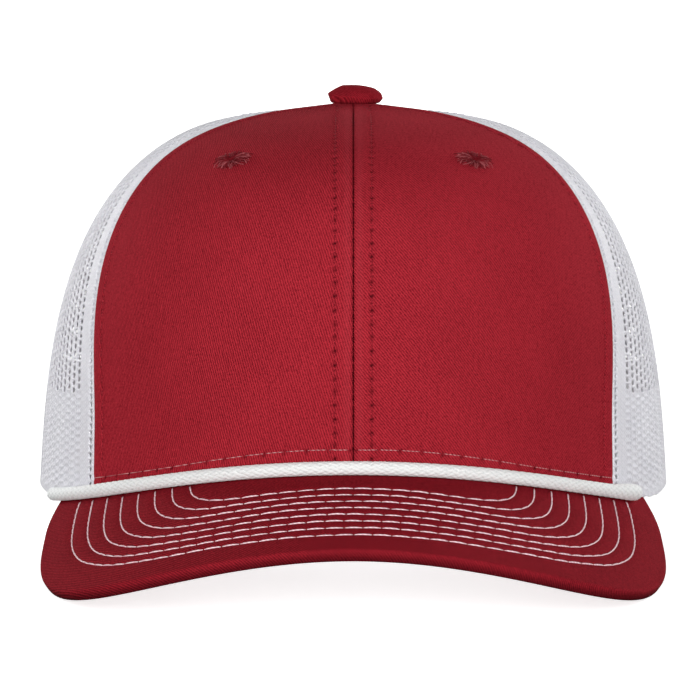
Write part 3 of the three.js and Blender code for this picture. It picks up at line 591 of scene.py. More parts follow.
def net_sheet(seam_from, seam_to, first_columns, closed):
    """A panel of net. Holes stand in columns alongside the first seam, each column half a
    period above the last, and the rows rise with the lower edge. A cell of the net is eight
    corners on a lattice and a ring of eight round its hole. Cells in the hems are closed, and
    those that the sweatband fills from behind are dents. Lattice points past a seam are drawn
    in to it. Returns points, faces and a map of millimetres from the seam and up the panel."""
    shares = np.linspace(0, 1, 41)
    rise = np.sin(np.linspace(0, math.pi / 2, 300))
    rise = rise * float(hole_rise(seam_to(1.0), TOP_HOLE_RADIUS))
    turn = lerp(seam_from(rise)[:, None], seam_to(rise)[:, None], shares)
    spots = crown_at(turn, rise[:, None] + 0 * turn)
    gone = path_lengths(spots)
    width = gone[:, -1]
    spread = gone[150] / width[150]
    height = path_lengths(spots[:, 20])
    more = int((width.max() - first_columns[-1]) / HOLE_SPACING) + 3
    edges = np.append(first_columns, first_columns[-1] + HOLE_SPACING * np.arange(1, more))
    columns, rows = len(edges) - 1, int(height[-1] / HOLE_PERIOD) + 2
    column, row = (n.ravel() for n in np.meshgrid(np.arange(columns), np.arange(-1, rows)))
    lattice = np.stack((2 * column, 2 * row + column % 2), -1)[:, None] + OUTLINE
    middle_x = (edges[column] + edges[column + 1]) / 2
    middle = np.stack((middle_x, (row + column % 2 / 2 + 0.5) * HOLE_PERIOD), -1)

    def place(spot):
        """Azimuth, height share and panel width for millimetres from the seam and up, with the
        heights squeezed up from the lower edge."""
        level = np.interp(spot[..., 1], height, rise)
        for _ in range(3):
            wide = np.interp(level, rise, width)
            share = np.interp(np.clip(spot[..., 0] / wide, 0, 1), spread, shares)
            azimuth = lerp(seam_from(level), seam_to(level), share)
            foot = lower_edge(azimuth, 0, CLEARANCE)[..., 2] / CROWN_HEIGHT
            level = foot + (1 - foot) * np.interp(spot[..., 1], height, rise)
        return azimuth, level, wide

    azimuth, level, wide = place(middle)
    spot = crown_at(azimuth, level)
    arch = spot[:, 0] / (ARCH_HALF_WIDTH + ARCH_HEM), spot[:, 2] / (ARCH_HEIGHT + ARCH_HEM)
    in_arch = (spot[:, 1] > 0) & (np.hypot(*arch) < 1)
    keep = (middle[:, 0] < wide - 0.2) & (middle[:, 1] > -0.1) & ~in_arch
    keep &= middle[:, 1] < height[-1]
    hem = (middle[:, 0] > closed[0]) & (middle[:, 0] < closed[1])
    hem |= (wide - middle[:, 0] < FAR_CLOSED) | (middle[:, 1] < RIM_HEM)
    hem |= np.hypot(spot[:, 0], spot[:, 1]) < BUTTON_HEM
    small = column == 0
    backed = ~hem & ~small & (middle[:, 1] < BACKED_HEIGHT)
    cell_wide = np.diff(edges)[column] * np.where(small, SMALL_HOLE_WIDE, HOLE_WIDE)
    lattice, middle, cell_wide = lattice[keep], middle[keep], cell_wide[keep]
    dent = np.where(backed, BACKED_DENT, HOLE_DENT)[keep]
    closed_cell = (hem | backed)[keep]
    corner, index = np.unique(lattice.reshape(-1, 2), axis=0, return_inverse=True)
    index = index.reshape(-1, 8)
    zigzag = np.where((corner[:, 1] - (corner[:, 0] // 2 - 1) % 2) % 2, 0.25, -0.25)
    corner_x = np.interp(corner[:, 0] / 2, np.arange(columns + 1), edges)
    corner_x += np.where((corner[:, 0] % 2) | (corner_x < first_columns[-1] + 1), 0, zigzag)
    corner_y = np.maximum(corner[:, 1] * HOLE_PERIOD / 2, 0)
    hole_size = np.stack((cell_wide, np.full_like(cell_wide, HOLE_TALL * HOLE_PERIOD)), -1)
    hole_spot = middle[:, None] + HOLE_SHAPE * hole_size[:, None]
    hole_spot[..., 1] = np.maximum(hole_spot[..., 1], 0.15)
    hole_spot = hole_spot.reshape(-1, 2)
    spots = np.concatenate((np.stack((corner_x, corner_y), -1), hole_spot))
    azimuth, level, wide = place(spots)
    points = crown_at(azimuth, level)
    edge = np.clip(np.minimum(spots[:, 0], wide - spots[:, 0]), 0, None)
    swell = np.concatenate((np.full(len(corner), 0.1), np.repeat(-dent, 8)))
    swell += seam_relief(edge, NET_ROLL, NET_STITCH_AT, NET_RIDGE, NET_DIP, spots[:, 1])
    from_top = np.hypot(points[..., 0], points[..., 1])
    swell += NET_TOP_LIFT * TOP_LIFT * bell(from_top, TOP_LIFT_REACH)
    points = off_crown(points, swell - net_sag(points))
    points[:, 2] = np.maximum(points[:, 2], table_height(points[:, 1]) + NET_THICKNESS)
    ring = len(corner) + np.arange(len(middle) * 8).reshape(-1, 8)
    after = np.roll(np.arange(8), -1)
    band = np.stack((index, index[:, after], ring[:, after], ring), -1).reshape(-1, 4)
    return points, band.tolist() + ring[closed_cell].tolist(), spots


def knitted_net(name, light, dark):
    """Warp-knitted polyester: columns of small V loops, with a soft plastic shine. The columns
    are 1.2 mm wide and the loops 1 mm apart, twice as coarse as real ones, so that they show."""

    def fill(tree):
        place = add_node(tree, "UVMap", {}, uv_map="cloth")
        across = add_node(tree, "SeparateXYZ", {0: place})
        upward = across.node.outputs[1]
        fold = add_node(tree, "Math", {0: across, 1: 0.6}, operation="PINGPONG")
        slope = add_node(tree, "Math", {0: fold, 1: -1.6, 2: upward}, operation="MULTIPLY_ADD")
        turn = add_node(tree, "Math", {0: slope, 1: 2 * math.pi}, operation="MULTIPLY")
        loops = add_node(tree, "Math", {0: turn}, operation="SINE")
        ribs = add_node(tree, "Math", {0: fold, 1: 0.7}, operation="MULTIPLY")
        knit = add_node(tree, "Math", {0: loops, 1: 0.5, 2: ribs}, operation="MULTIPLY_ADD")
        grain = add_node(tree, "TexNoise", {"Vector": place, "Scale": 2.5, "Detail": 2.0})
        height = add_node(tree, "Math", {0: grain, 1: 0.35, 2: knit}, operation="MULTIPLY_ADD")
        cloud = add_node(tree, "TexNoise", {"Vector": place, "Scale": 0.08, "Detail": 2.0})
        tone = add_node(tree, "Math", {0: height, 1: 0.5}, operation="MULTIPLY")
        tone = add_node(tree, "Math", {0: cloud, 1: 0.6, 2: tone}, operation="MULTIPLY_ADD")
        yarns = {"Factor": tone, "A": linear(dark), "B": linear(light)}
        return add_node(tree, "Mix", yarns, "Result", data_type="RGBA"), height

    return finish_material(
        name, fill, 0.2, Roughness=0.62, Sheen_Weight=0.3, IOR=1.5, Specular_IOR_Level=0.35
    )


white_net = knitted_net("white knitted polyester net", "#fbfaff", "#dddce6")
for place_name, seam_from, first_columns, closed in (
    ("side", front_seam, FRONT_COLUMNS, FRONT_CLOSED),
    ("back", rear_seam, BACK_COLUMNS, BACK_CLOSED),
):
    points, faces, uv = net_sheet(seam_from, back_seam, first_columns, closed)
    if seam_from is rear_seam:
        faces = [face[::-1] for face in faces]
    for hand, shape, turned in (("right", points, faces), ("left", *mirrored(points, faces))):
        panel = make_piece(
            f"{place_name}_net_{hand}", shape, turned, "net", [f"{place_name}_panel_{hand}"], uv
        )
        build = bmesh.new()
        build.from_mesh(panel.data)
        bmesh.ops.remove_doubles(build, verts=build.verts, dist=2e-5)
        bmesh.ops.dissolve_degenerate(build, edges=build.edges, dist=1e-5)
        build.to_mesh(panel.data)
        build.free()
        thicken(panel, NET_THICKNESS)
        panel.data.materials.append(white_net)


# Net seam stitches. White polyester thread in lock stitch on both sides of the seams that
# join the net panels. Each row runs from the button down to the rim, or to the arch's binding.
WHITE_PITCH, WHITE_SHARE, WHITE_RADIUS = 2.8, 0.8, 0.18
SEAM_TOP_RADIUS = TOP_HOLE_RADIUS + 7.5
RIM_END, ARCH_END = 2.0, 57.0


def seam_path(seam, away, low, count=140):
    """Points on the crown's face that keep a level distance from a seam, up to the button."""
    rise = np.sin(np.linspace(math.asin(low / CROWN_HEIGHT), math.pi / 2, count))
    rise = rise * float(hole_rise(np.array(seam(1.0)), SEAM_TOP_RADIUS))
    azimuth = seam(rise)
    for _ in range(3):
        spot = crown_at(azimuth, rise)
        span = np.hypot(RIM_HALF_WIDTH * np.sin(azimuth), RIM_HALF_LENGTH * np.cos(azimuth))
        pace = np.hypot(RIM_HALF_LENGTH * np.sin(azimuth), RIM_HALF_WIDTH * np.cos(azimuth))
        reach = np.hypot(spot[:, 0], spot[:, 1]) / span
        azimuth = seam(rise) + away / (pace * reach)
    return crown_at(azimuth, rise)


def white_run(path, outward):
    """A run of the white stitches that hold the net's seams and the binding."""
    return stitch_run(path, outward, WHITE_PITCH, WHITE_SHARE, WHITE_RADIUS)


net_runs = []
for seam, away, low in (
    (back_seam, NET_STITCH_AT, RIM_END), (back_seam, -NET_STITCH_AT, RIM_END),
    (rear_seam, -NET_STITCH_AT, ARCH_END),
):
    path = seam_path(seam, away, low)
    path = off_crown(path, 0.1 - net_sag(path))
    net_runs.append(white_run(path, outward_at(path)))
white_thread = sewing_thread("white polyester thread", "#f1f0f4", "#c9c8d0")
sew("net_stitches", both_hands(net_runs), "net", white_thread)


# Seam tape. White woven tape sewn over the raw seams inside the crown, and beside the front
# seam, where it shows through the net as a white band.
TAPE_THICKNESS, TAPE_COLUMNS = 0.3, 5


def woven_tape(name, light, dark):
    """Plain-woven tape: yarns over and under each other, which give an even matt check. They
    are drawn 0.7 mm apart, a little coarser than real ones, so that they show."""

    def fill(tree):
        place = add_node(tree, "UVMap", {}, uv_map="cloth")
        warp = wave_lines(tree, place, 0.7, 0.0)
        weft = wave_lines(tree, place, 0.7, math.pi / 2)
        crossed = add_node(tree, "Math", {0: warp, 1: weft}, operation="SUBTRACT")
        crossed = add_node(tree, "Math", {0: crossed}, operation="ABSOLUTE")
        grain = add_node(tree, "TexNoise", {"Vector": place, "Scale": 3.0, "Detail": 2.0})
        height = add_node(tree, "Math", {0: grain, 1: 0.4, 2: crossed}, operation="MULTIPLY_ADD")
        yarns = {"Factor": height, "A": linear(dark), "B": linear(light)}
        return add_node(tree, "Mix", yarns, "Result", data_type="RGBA"), height

    return finish_material(name, fill, 0.1, Roughness=0.8, IOR=1.5, Specular_IOR_Level=0.2)


tape = woven_tape("white woven cotton tape", "#f1f0f5", "#cfced6")
tape_parts, tape_maps = [], []
# Seam, reach on both sides of it, depth inside the crown's face, and the lower end's height.
for seam, start, end, inside, low in (
    (front_seam, 2.8, 8.6, NET_THICKNESS + 0.3, 30.0),
    (front_seam, -5.0, 1.5, FRONT_THICKNESS + 0.4, 22.0),
    (back_seam, -4.5, 4.5, NET_THICKNESS + 0.4, 30.0),
    (rear_seam, -4.5, 0.0, NET_THICKNESS + 0.4, ARCH_END),
    (middle_seam, 0.0, 5.0, FRONT_THICKNESS + 0.5, 22.0),
):
    across = np.linspace(start, end, TAPE_COLUMNS)
    strip = np.stack([seam_path(seam, away, low) for away in across], 1)
    strip = off_crown(strip, -inside - net_sag(strip))
    tape_parts.append((strip, grid_faces(*strip.shape[:2]).tolist()))
    gone = path_lengths(strip[:, 2])[:, None]
    tape_maps.append(np.stack(np.broadcast_arrays(across, gone), -1).reshape(-1, 2))
tape_map = np.concatenate(tape_maps * 2)
seam_tape = make_piece("seam_tape", *joined(both_hands(tape_parts)), "binding", uv=tape_map)
thicken(seam_tape, TAPE_THICKNESS)
seam_tape.data.materials.append(tape)


# Peak. A stiff board bent across and covered above and below with red twill, rolled over the
# front edge, and quilted by eight rows of pale thread that follow the edge.
PEAK_THICKNESS, PEAK_HALF_WIDTH, PEAK_REACH, PEAK_TIP_DROOP = 3.3, 84.4, 61.0, 1.2
PEAK_CORNER_START, PEAK_SQUARENESS = -28.0, 3.15
PEAK_HORN_HALF_WIDTH, PEAK_HORN_START = 80.9, -55.0
PEAK_ROWS = 8
ROW_FRONT_INSET, ROW_FRONT_STEP = 11.0, 5.2
ROW_SIDE_INSET, ROW_SIDE_STEP = 9.6, 4.7
ROW_SQUARER, ROW_WANDER, ROW_HORN = 0.25, 0.14, 1.35
ROW_PITCH, ROW_SHARE, ROW_THREAD_RADIUS, ROW_LIFT, ROW_SINK = 4.5, 0.92, 0.2, 0.18, 0.26
QUILT_SWELL, QUILT_DIP, QUILT_DIP_WIDTH = 0.2, 0.24, 0.5
PEAK_STATIONS, PEAK_TOP_STEPS, PEAK_EDGE_STEPS, PEAK_UNDER_STEPS = 300, 120, 17, 60
PEAK_EDGE_POWER = 0.6
FRONT_CAD_THICKNESS = 2.0


def peak_point(u, v, over):
    """Place of the flat pattern, u across and v forwards, on the bent and pitched peak, a
    distance over its top face. The tip droops by the squared share of the reach."""
    radius = PEAK_BEND_RADIUS + over
    across = radius * np.sin(u / PEAK_BEND_RADIUS)
    droop = PEAK_TIP_DROOP * (np.maximum(v, 0) / PEAK_REACH) ** 2
    drop = radius * np.cos(u / PEAK_BEND_RADIUS) - PEAK_BEND_RADIUS - droop
    forward = -RIM_HALF_LENGTH - v * math.cos(PEAK_PITCH) - drop * math.sin(PEAK_PITCH)
    height = PEAK_ROOT_HEIGHT - v * math.sin(PEAK_PITCH) + drop * math.cos(PEAK_PITCH)
    return np.stack((across, forward, height), -1)


def pattern_at(points, over):
    """Flat pattern place of plan positions on a face that lies over the peak's top."""
    radius = PEAK_BEND_RADIUS + over
    turn = np.arcsin(np.clip(points[..., 0] / radius, -1, 1))
    drop = radius * np.cos(turn) - PEAK_BEND_RADIUS
    ahead = -RIM_HALF_LENGTH - points[..., 1] - drop * math.sin(PEAK_PITCH)
    return np.stack((PEAK_BEND_RADIUS * turn, ahead / math.cos(PEAK_PITCH)), -1)


def row_shape(row):
    """Half width, depth and squareness of a stitch row, numbered from the outermost one at 0.
    Row -2.04 is about the edge itself. Rows get squarer as they get smaller."""
    wide = PEAK_HALF_WIDTH - ROW_SIDE_INSET - ROW_SIDE_STEP * row
    deep = PEAK_REACH - PEAK_CORNER_START - ROW_FRONT_INSET - ROW_FRONT_STEP * row
    return wide, deep, PEAK_SQUARENESS + ROW_SQUARER * np.maximum(row, 0)


def peak_outline(wide, deep, squareness, horn=1.0, count=400):
    """Half of the outline, or of a row that lies inside it: a superellipse round the front
    corner, then a line that draws in towards the horn by the squared share, which ends at horn."""
    turn = np.linspace(0, math.pi / 2, count)
    power = 2 / squareness
    u = wide * np.sin(turn) ** power
    v = PEAK_CORNER_START + deep * np.cos(turn) ** power
    back = np.linspace(0, horn, count // 4)[1:]
    horn_u = wide - (PEAK_HALF_WIDTH - PEAK_HORN_HALF_WIDTH) * back**2
    horn_v = lerp(PEAK_CORNER_START, PEAK_HORN_START, back)
    return np.stack((np.append(u, horn_u), np.append(v, horn_v)), -1)


def row_number(u, v):
    """The stitch row, as a number with a fraction, that would run through a place of the
    pattern, found by halving."""
    back = np.clip((PEAK_CORNER_START - v) / (PEAK_CORNER_START - PEAK_HORN_START), 0, 1)
    across = np.abs(u) + (PEAK_HALF_WIDTH - PEAK_HORN_HALF_WIDTH) * back**2
    low, high = np.full_like(u, -2.5), np.full_like(u, 12.0)
    for _ in range(24):
        row = (low + high) / 2
        wide, deep, squareness = row_shape(row)
        ahead = np.maximum(v - PEAK_CORNER_START, 0) / deep
        outside = (across / wide) ** squareness + ahead**squareness > 1
        low, high = np.where(outside, low, row), np.where(outside, row, high)
    return low


def quilting(row, along):
    """Height of quilted cloth: a low swell between rows, and a narrow dip along each row, both
    a little uneven along it."""
    gap = np.abs(row - np.clip(np.round(row), 0, PEAK_ROWS - 1)) * ROW_FRONT_STEP
    quilt = QUILT_SWELL * smooth(gap, 0.2, 2.3) - QUILT_DIP * bell(gap, QUILT_DIP_WIDTH)
    inside = smooth(row, -1.7, -0.9)
    return quilt * inside * (1 + 0.12 * np.sin(along * 1.43)) - 0.02 * inside


def off_face(points):
    """Distance of points from the crown's face: its field over the length of its gradient."""
    return crown_field(points) / np.linalg.norm(crown_slope(points), axis=-1)


def tube_faces(steps, around, turned=False):
    """Faces of a tube of rings, numbered ring by ring, with a flat face at each end. turned
    swaps the way that they face."""
    faces = grid_faces(steps, around, closed=True).tolist()
    faces += [list(range(around))[::-1], [(steps - 1) * around + k for k in range(around)]]
    return [face[::-1] for face in faces] if turned else faces


half = peak_outline(PEAK_HALF_WIDTH, PEAK_REACH - PEAK_CORNER_START, PEAK_SQUARENESS)
outline = np.concatenate((half[::-1] * (-1, 1), half[1:]))
outline_gone = path_lengths(outline)
along = np.linspace(-1, 1, PEAK_STATIONS)
root_azimuth = np.radians(along * PEAK_END_ANGLE)
root = pattern_at(lower_edge(root_azimuth, -FRONT_CAD_THICKNESS, 0), 0)
under = -PEAK_THICKNESS
foot = pattern_at(lower_edge(root_azimuth, -FRONT_CAD_THICKNESS, under), under)
wanted = (along + 1) / 2 * outline_gone[-1]
edge = np.stack([np.interp(wanted, outline_gone, outline[:, k]) for k in (0, 1)], -1)
edge_point = peak_point(edge[:, 0], edge[:, 1], 0)
upright = smooth(np.abs(along), 0.75, 1)[:, None]
under_edge = lerp(edge, pattern_at(edge_point, under), upright)
edge_radius = PEAK_THICKNESS / 2
flat = np.maximum(1 - edge_radius / np.linalg.norm(root - edge, axis=-1), 0.3)[:, None]
round_turn = np.linspace(0, math.pi, PEAK_EDGE_STEPS)
round_out = np.sin(round_turn) ** PEAK_EDGE_POWER
round_down = np.sign(np.cos(round_turn)) * np.abs(np.cos(round_turn)) ** PEAK_EDGE_POWER
top_share = flat * np.linspace(0, 1, PEAK_TOP_STEPS, endpoint=False)
round_share = flat + (1 - flat) * round_out
under_share = flat * np.linspace(1, 0, PEAK_UNDER_STEPS + 1)[1:]
share = np.hstack((top_share, round_share, under_share))[..., None]
over = np.concatenate(
    (np.zeros(PEAK_TOP_STEPS), edge_radius * (round_down - 1), np.full(PEAK_UNDER_STEPS, under))
)
top_spot = lerp(root[:, None], edge[:, None], share)
under_spot = lerp(foot[:, None], under_edge[:, None], share)
spot = lerp(top_spot, under_spot, (-over / PEAK_THICKNESS)[:, None])
depth = row_number(spot[..., 0], spot[..., 1])
gone = np.abs(spot[..., 0]) + np.abs(spot[..., 1])
lift = quilting(depth, gone)
facing = np.where(over > -edge_radius, 1.0, -1.0)
facing = facing * np.abs(over + edge_radius) / edge_radius
peak_shape = peak_point(spot[..., 0], spot[..., 1], over + lift * facing)
peak_faces = tube_faces(PEAK_STATIONS, peak_shape.shape[1], turned=True)
round_over = np.where(over < 0, -over * 1.3, 0)
peak_uv = np.stack((spot[..., 0], spot[..., 1] + round_over * np.ones_like(depth)), -1)
# Painted shade: the rolled edge is mixed towards a dark red as it turns under the peak.
edge_worn = -0.75 * smooth(-over, 0.2, 2.6)
edge_worn = edge_worn * np.ones_like(depth) * (share[..., 0] > flat)
peak = make_piece(
    "peak_twill", peak_shape, peak_faces, "peak_twill", ["peak"], peak_uv, worn=edge_worn
)
# The peak's dyes are darker than the front panels' though it is the same cloth: painted shade for
# its top, which faces up.
peak.data.materials.append(
    cotton_twill("red cotton twill, peak", "#5e0f18", "#a2242f", "#bb3a42", -0.55, 0.64)
)

row_runs = []
for number in range(PEAK_ROWS):
    half = peak_outline(*row_shape(number), ROW_HORN)
    row = np.concatenate((half[::-1] * (-1, 1), half[1:]))
    row_gone = path_lengths(row)
    wander = np.sin(row_gone / 3.1 + number) + np.sin(row_gone / 7.7 + 2 * number)
    row[:, 1] += ROW_WANDER * wander
    for over, away, wall in ((-ROW_SINK, 1.0, 1.6), (under + ROW_SINK, -1.0, -1.0)):
        path = peak_point(row[:, 0], row[:, 1], over)
        raised = peak_point(row[:, 0], row[:, 1], over + away)
        seen = off_face(path) > wall
        path, outward = path[seen], unit(raised - path)[seen]
        row_runs.append(
            stitch_run(path, outward, ROW_PITCH, ROW_SHARE, ROW_THREAD_RADIUS, ROW_LIFT)
        )
sew("peak_stitches", row_runs, "peak_twill", pink_thread)


# Rope. A white braided polyester cord, 3.5 mm thick, sewn down in the corner between the front
# panels and the peak. Its left end is cut off square and its right end is worn round.
ROPE_RADIUS, ROPE_LEFT, ROPE_RIGHT, ROPE_LEAN = 1.75, 65.0, 57.7, math.radians(18)
ROPE_STRANDS, ROPE_LEAD, ROPE_DEPTH, ROPE_UNDER = 8, 20.0, 0.38, 0.6
ROPE_SQUARE_END, ROPE_ROUND_END = 0.5, 3.2
ROPE_FLARE, FLARE_FROM, FLARE_TO = 0.26, 16.0, 4.0
ROPE_STEPS, ROPE_SIDES = 900, 48
rope_azimuth = np.radians(np.linspace(-ROPE_LEFT, ROPE_RIGHT, ROPE_STEPS))
to_right_end = np.linspace(1, 0, ROPE_STEPS) * np.radians(ROPE_LEFT + ROPE_RIGHT) * 95
flare = 1 + ROPE_FLARE * (1 - smooth(to_right_end, FLARE_TO, FLARE_FROM))
rope_away = ROPE_RADIUS * flare + CLEARANCE
rope_path = lower_edge(rope_azimuth, rope_away / math.cos(ROPE_LEAN), rope_away)
rope_gone = path_lengths(rope_path)
rope_ahead = unit(np.gradient(rope_path, axis=0))
rope_out = outward_at(rope_path)
rope_out = unit(rope_out - rope_ahead * (rope_out * rope_ahead).sum(-1, keepdims=True))
rope_up = np.cross(rope_ahead, rope_out)
turn = np.linspace(0, 2 * math.pi, ROPE_SIDES, endpoint=False)
lay = turn[None] / (2 * math.pi) * ROPE_STRANDS
pace = rope_gone[:, None] / ROPE_LEAD * ROPE_STRANDS
first, second = lay + pace, lay - pace
over, below = (np.sqrt(np.maximum(1 - (2 * (n % 1) - 1) ** 2, 0)) for n in (first, second))
crossing = (np.floor(first) + np.floor(second)) % 2
over, below = np.where(crossing < 1, (over, below), (below, over))
braid = np.maximum(over, ROPE_UNDER * below)
from_left, from_right = rope_gone[:, None], rope_gone[-1] - rope_gone[:, None]
square_end = np.clip(from_left / ROPE_SQUARE_END, 0, 1) ** 0.2
round_end = np.clip(from_right / ROPE_ROUND_END, 0, 1)
round_end = np.maximum(np.sqrt(np.clip(1 - (1 - round_end) ** 2, 0, 1)), 0.02)
rope_radius = (ROPE_RADIUS * flare[:, None] - ROPE_DEPTH * (1 - braid)) * square_end * round_end
ring = rope_out[:, None] * np.cos(turn)[:, None] + rope_up[:, None] * np.sin(turn)[:, None]
rope_shape = rope_path[:, None] + ring * rope_radius[..., None]
rope_uv = np.stack(np.broadcast_arrays(rope_gone[:, None], turn[None] * ROPE_RADIUS), -1)
rope = make_piece(
    "braided_rope", rope_shape, tube_faces(ROPE_STEPS, ROPE_SIDES), "rope", ["rope"], rope_uv,
    braid=braid,
)


def braided_polyester(name):
    """Bright white yarn in small bundles, with painted shade where the bundles dip under each
    other.
    """

    def fill(tree):
        place = add_node(tree, "UVMap", {}, uv_map="cloth")
        fibre = add_node(tree, "TexNoise", {"Vector": place, "Scale": 5.0, "Detail": 3.0})
        crest = add_node(tree, "Attribute", {}, "Fac", attribute_name="braid")
        height = add_node(tree, "Math", {0: crest, 1: 0.5}, operation="MULTIPLY")
        height = add_node(tree, "Math", {0: fibre, 1: 0.5, 2: height}, operation="MULTIPLY_ADD")
        # Painted shade: the yarn is mixed towards grey where the braid attribute is low, down
        # between the bundles.
        tone = add_node(tree, "Math", {0: crest, 1: 0.7}, operation="MULTIPLY")
        tone = add_node(tree, "Math", {0: fibre, 1: 0.4, 2: tone}, operation="MULTIPLY_ADD")
        yarns = {"Factor": tone, "A": linear("#b2b6b5"), "B": linear("#f1f3f2")}
        return add_node(tree, "Mix", yarns, "Result", data_type="RGBA"), height

    return finish_material(
        name, fill, 0.1, Roughness=0.7, Sheen_Weight=0.25, IOR=1.5, Specular_IOR_Level=0.3
    )


rope.data.materials.append(braided_polyester("white braided polyester cord"))


# Button. A metal button covered with the red twill, gathered under its edge, over the point
# where the six panels meet. Its shank goes through the crown to a clench plate inside.
BUTTON_RADIUS, BUTTON_HEIGHT, BUTTON_FOOT = 7.15, 6.2, 1.05
BUTTON_STEPS, BUTTON_SIDES, BUTTON_CORNERS, BUTTON_GATHERS = 48, 112, 7, 13
FACET_DEPTH, GATHER_DEPTH, FOLD_DEPTH = 0.4, 0.1, 0.6
BUTTON_MARKS = (0, 0.1, 0.36, 0.56, 0.76, 0.86, 1)
BUTTON_LEFT = ((0.7, 0), (0.86, 0.12), (1, 0.56), (0.72, 0.8), (0.42, 1), (0.3, 1), (0.005, 1))
BUTTON_RIGHT = (
    (0.75, 0), (0.98, 0.07), (1.1, 0.3), (1.03, 0.6), (0.76, 0.87), (0.24, 1), (0.005, 1)
)
SHANK = np.array((
    (0.02, -3.2), (4.2, -3.2), (4.5, -3.0), (4.5, -2.5), (4.2, -2.3), (1.9, -2.3), (1.9, 0.6),
    (0.02, 0.6),
))


def rounded_profile(corners):
    """Reach and height shares up the button's side: straight between the corners, which a
    running mean of five steps rounds a little."""
    marks = np.linspace(0, 1, BUTTON_STEPS)
    lines = [np.interp(marks, BUTTON_MARKS, values) for values in np.transpose(corners)]
    padded = [np.pad(line, 2, mode="edge") for line in lines]
    return [np.convolve(line, np.full(5, 0.2), "valid")[:, None] for line in padded]


def turned_shape(radius, height, turn):
    """Points of a turned shape on the crown's axis, at radii and heights over its top."""
    across, ahead = radius * np.sin(turn), -radius * np.cos(turn)
    return np.stack((across, ahead, CROWN_HEIGHT + height + 0 * turn), -1)


turn = np.linspace(0, 2 * math.pi, BUTTON_SIDES, endpoint=False)[None]
leftness = (1 - np.sin(turn)) / 2
reach, stand = (
    lerp(right, left, leftness)
    for left, right in zip(rounded_profile(BUTTON_LEFT), rounded_profile(BUTTON_RIGHT))
)
up_share = np.linspace(0, 1, BUTTON_STEPS)[:, None]
corner_phase = turn / (2 * math.pi) * BUTTON_CORNERS + 0.22
facet = np.abs(corner_phase % 1 - 0.5) * 2 - 0.5
facet = facet * bell(up_share - 0.36, 0.25)
gather = np.cos(turn * BUTTON_GATHERS + 0.4 * np.sin(turn * 3)) * bell(up_share - 0.08, 0.1)
from_front = (turn + math.pi) % (2 * math.pi) - math.pi
fold = bell(from_front, 0.1) * bell(up_share - 0.12, 0.16)
radius = BUTTON_RADIUS * reach + GATHER_DEPTH * gather + FACET_DEPTH * facet - FOLD_DEPTH * fold
height = BUTTON_FOOT + (BUTTON_HEIGHT - BUTTON_FOOT) * stand
button_points, button_faces = joined([
    (turned_shape(radius, height, turn), tube_faces(BUTTON_STEPS, BUTTON_SIDES)),
    (turned_shape(SHANK[:, :1], SHANK[:, 1:], turn), tube_faces(len(SHANK), BUTTON_SIDES)),
])
button_uv = np.stack((button_points[:, 0], button_points[:, 2] + 0.8 * button_points[:, 1]), -1)
# Painted shade: the button's twill darkens round its foot, and more in the fold at its front.
button_rise = button_points[:, 2] - CROWN_HEIGHT
crease_shade = bell(button_points[:, 0], 0.5) * (button_points[:, 1] < 0)
button_worn = -0.55 * (1 - smooth(button_rise, BUTTON_FOOT, 2.6)) * (1 + 0.6 * crease_shade)
button = make_piece(
    "covered_button", button_points, button_faces, "button_twill", ["button"], button_uv,
    worn=button_worn,
)
button.data.materials.append(
    cotton_twill("red cotton twill, button", "#6c101a", "#a0242f", "#b04a54", 0.75, 0.55)
)


# Eyelets. Each air hole is oversewn with dark red embroidery thread in close radial stitches,
# flat on the cloth, and has worn fuzzy, with loose and broken threads round it.
EYELET_THREADS, EYELET_SIDES = 40, 320
EYELET_PROFILE = (
    (3.3, 0.0), (3.15, 0.2), (2.8, 0.36), (2.2, 0.42), (1.6, 0.36), (1.15, 0.1), (0.95, -0.4),
    (0.9, -1.2), (1.0, -2.2), (1.3, -2.65), (1.8, -2.85), (2.3, -2.85), (2.8, -2.7),
    (3.05, -2.4), (3.1, -2.2), (2.2, -2.1), (2.0, -1.0), (2.2, -0.3),
)
LOOSE_THREADS, LOOSE_STEPS, LOOSE_SIDES, LOOSE_RADIUS = 150, 9, 5, 0.11
EYELET_STRETCH = (1.3, 0.95)
rng = np.random.default_rng(7)
turn = np.linspace(0, 2 * math.pi, EYELET_SIDES, endpoint=False)
eyelet_frame = outward_at(eyelet_spot)
level = unit(np.cross((0, 0, 1.0), eyelet_frame))
upward = np.cross(eyelet_frame, level)
profile = np.array(EYELET_PROFILE)
strand = turn * EYELET_THREADS / (2 * math.pi)
crest = np.abs(np.sin(strand * math.pi)) ** 0.7
length = rng.uniform(-0.3, 0.3, EYELET_THREADS)[np.floor(strand).astype(int) % EYELET_THREADS]
outer = smooth(profile[:, 0], 1.3, 3.3)
ring_radius = profile[:, :1] + outer[:, None] * length + 0.05 * (crest - 0.5)
sign = np.where(profile[:, 1] > -1, 1, -1)[:, None]
ring_height = profile[:, 1:] + sign * 0.14 * (crest - 0.6) * (outer[:, None] > 0.02)
eyelet_shape = (
    eyelet_spot
    + level * (ring_radius * np.cos(turn))[..., None]
    + upward * (ring_radius * np.sin(turn))[..., None]
    + eyelet_frame * ring_height[..., None]
)
eyelet_faces = grid_faces(len(profile) + 1, EYELET_SIDES, closed=True)
eyelet_faces = eyelet_faces % (len(profile) * EYELET_SIDES)
loose_along = np.linspace(0, 1, LOOSE_STEPS)
loose_start = rng.uniform(0.5, 1.6, LOOSE_THREADS)[:, None]
loose_end = rng.uniform(2.4, 4.5, LOOSE_THREADS)[:, None]
loose_end = loose_end * (1 + 0.35 * rng.random((LOOSE_THREADS, 1)) ** 3)
loose_turn = rng.uniform(0, 2 * math.pi, LOOSE_THREADS)[:, None]
loose_turn = loose_turn + rng.uniform(-0.45, 0.45, LOOSE_THREADS)[:, None] * loose_along**2
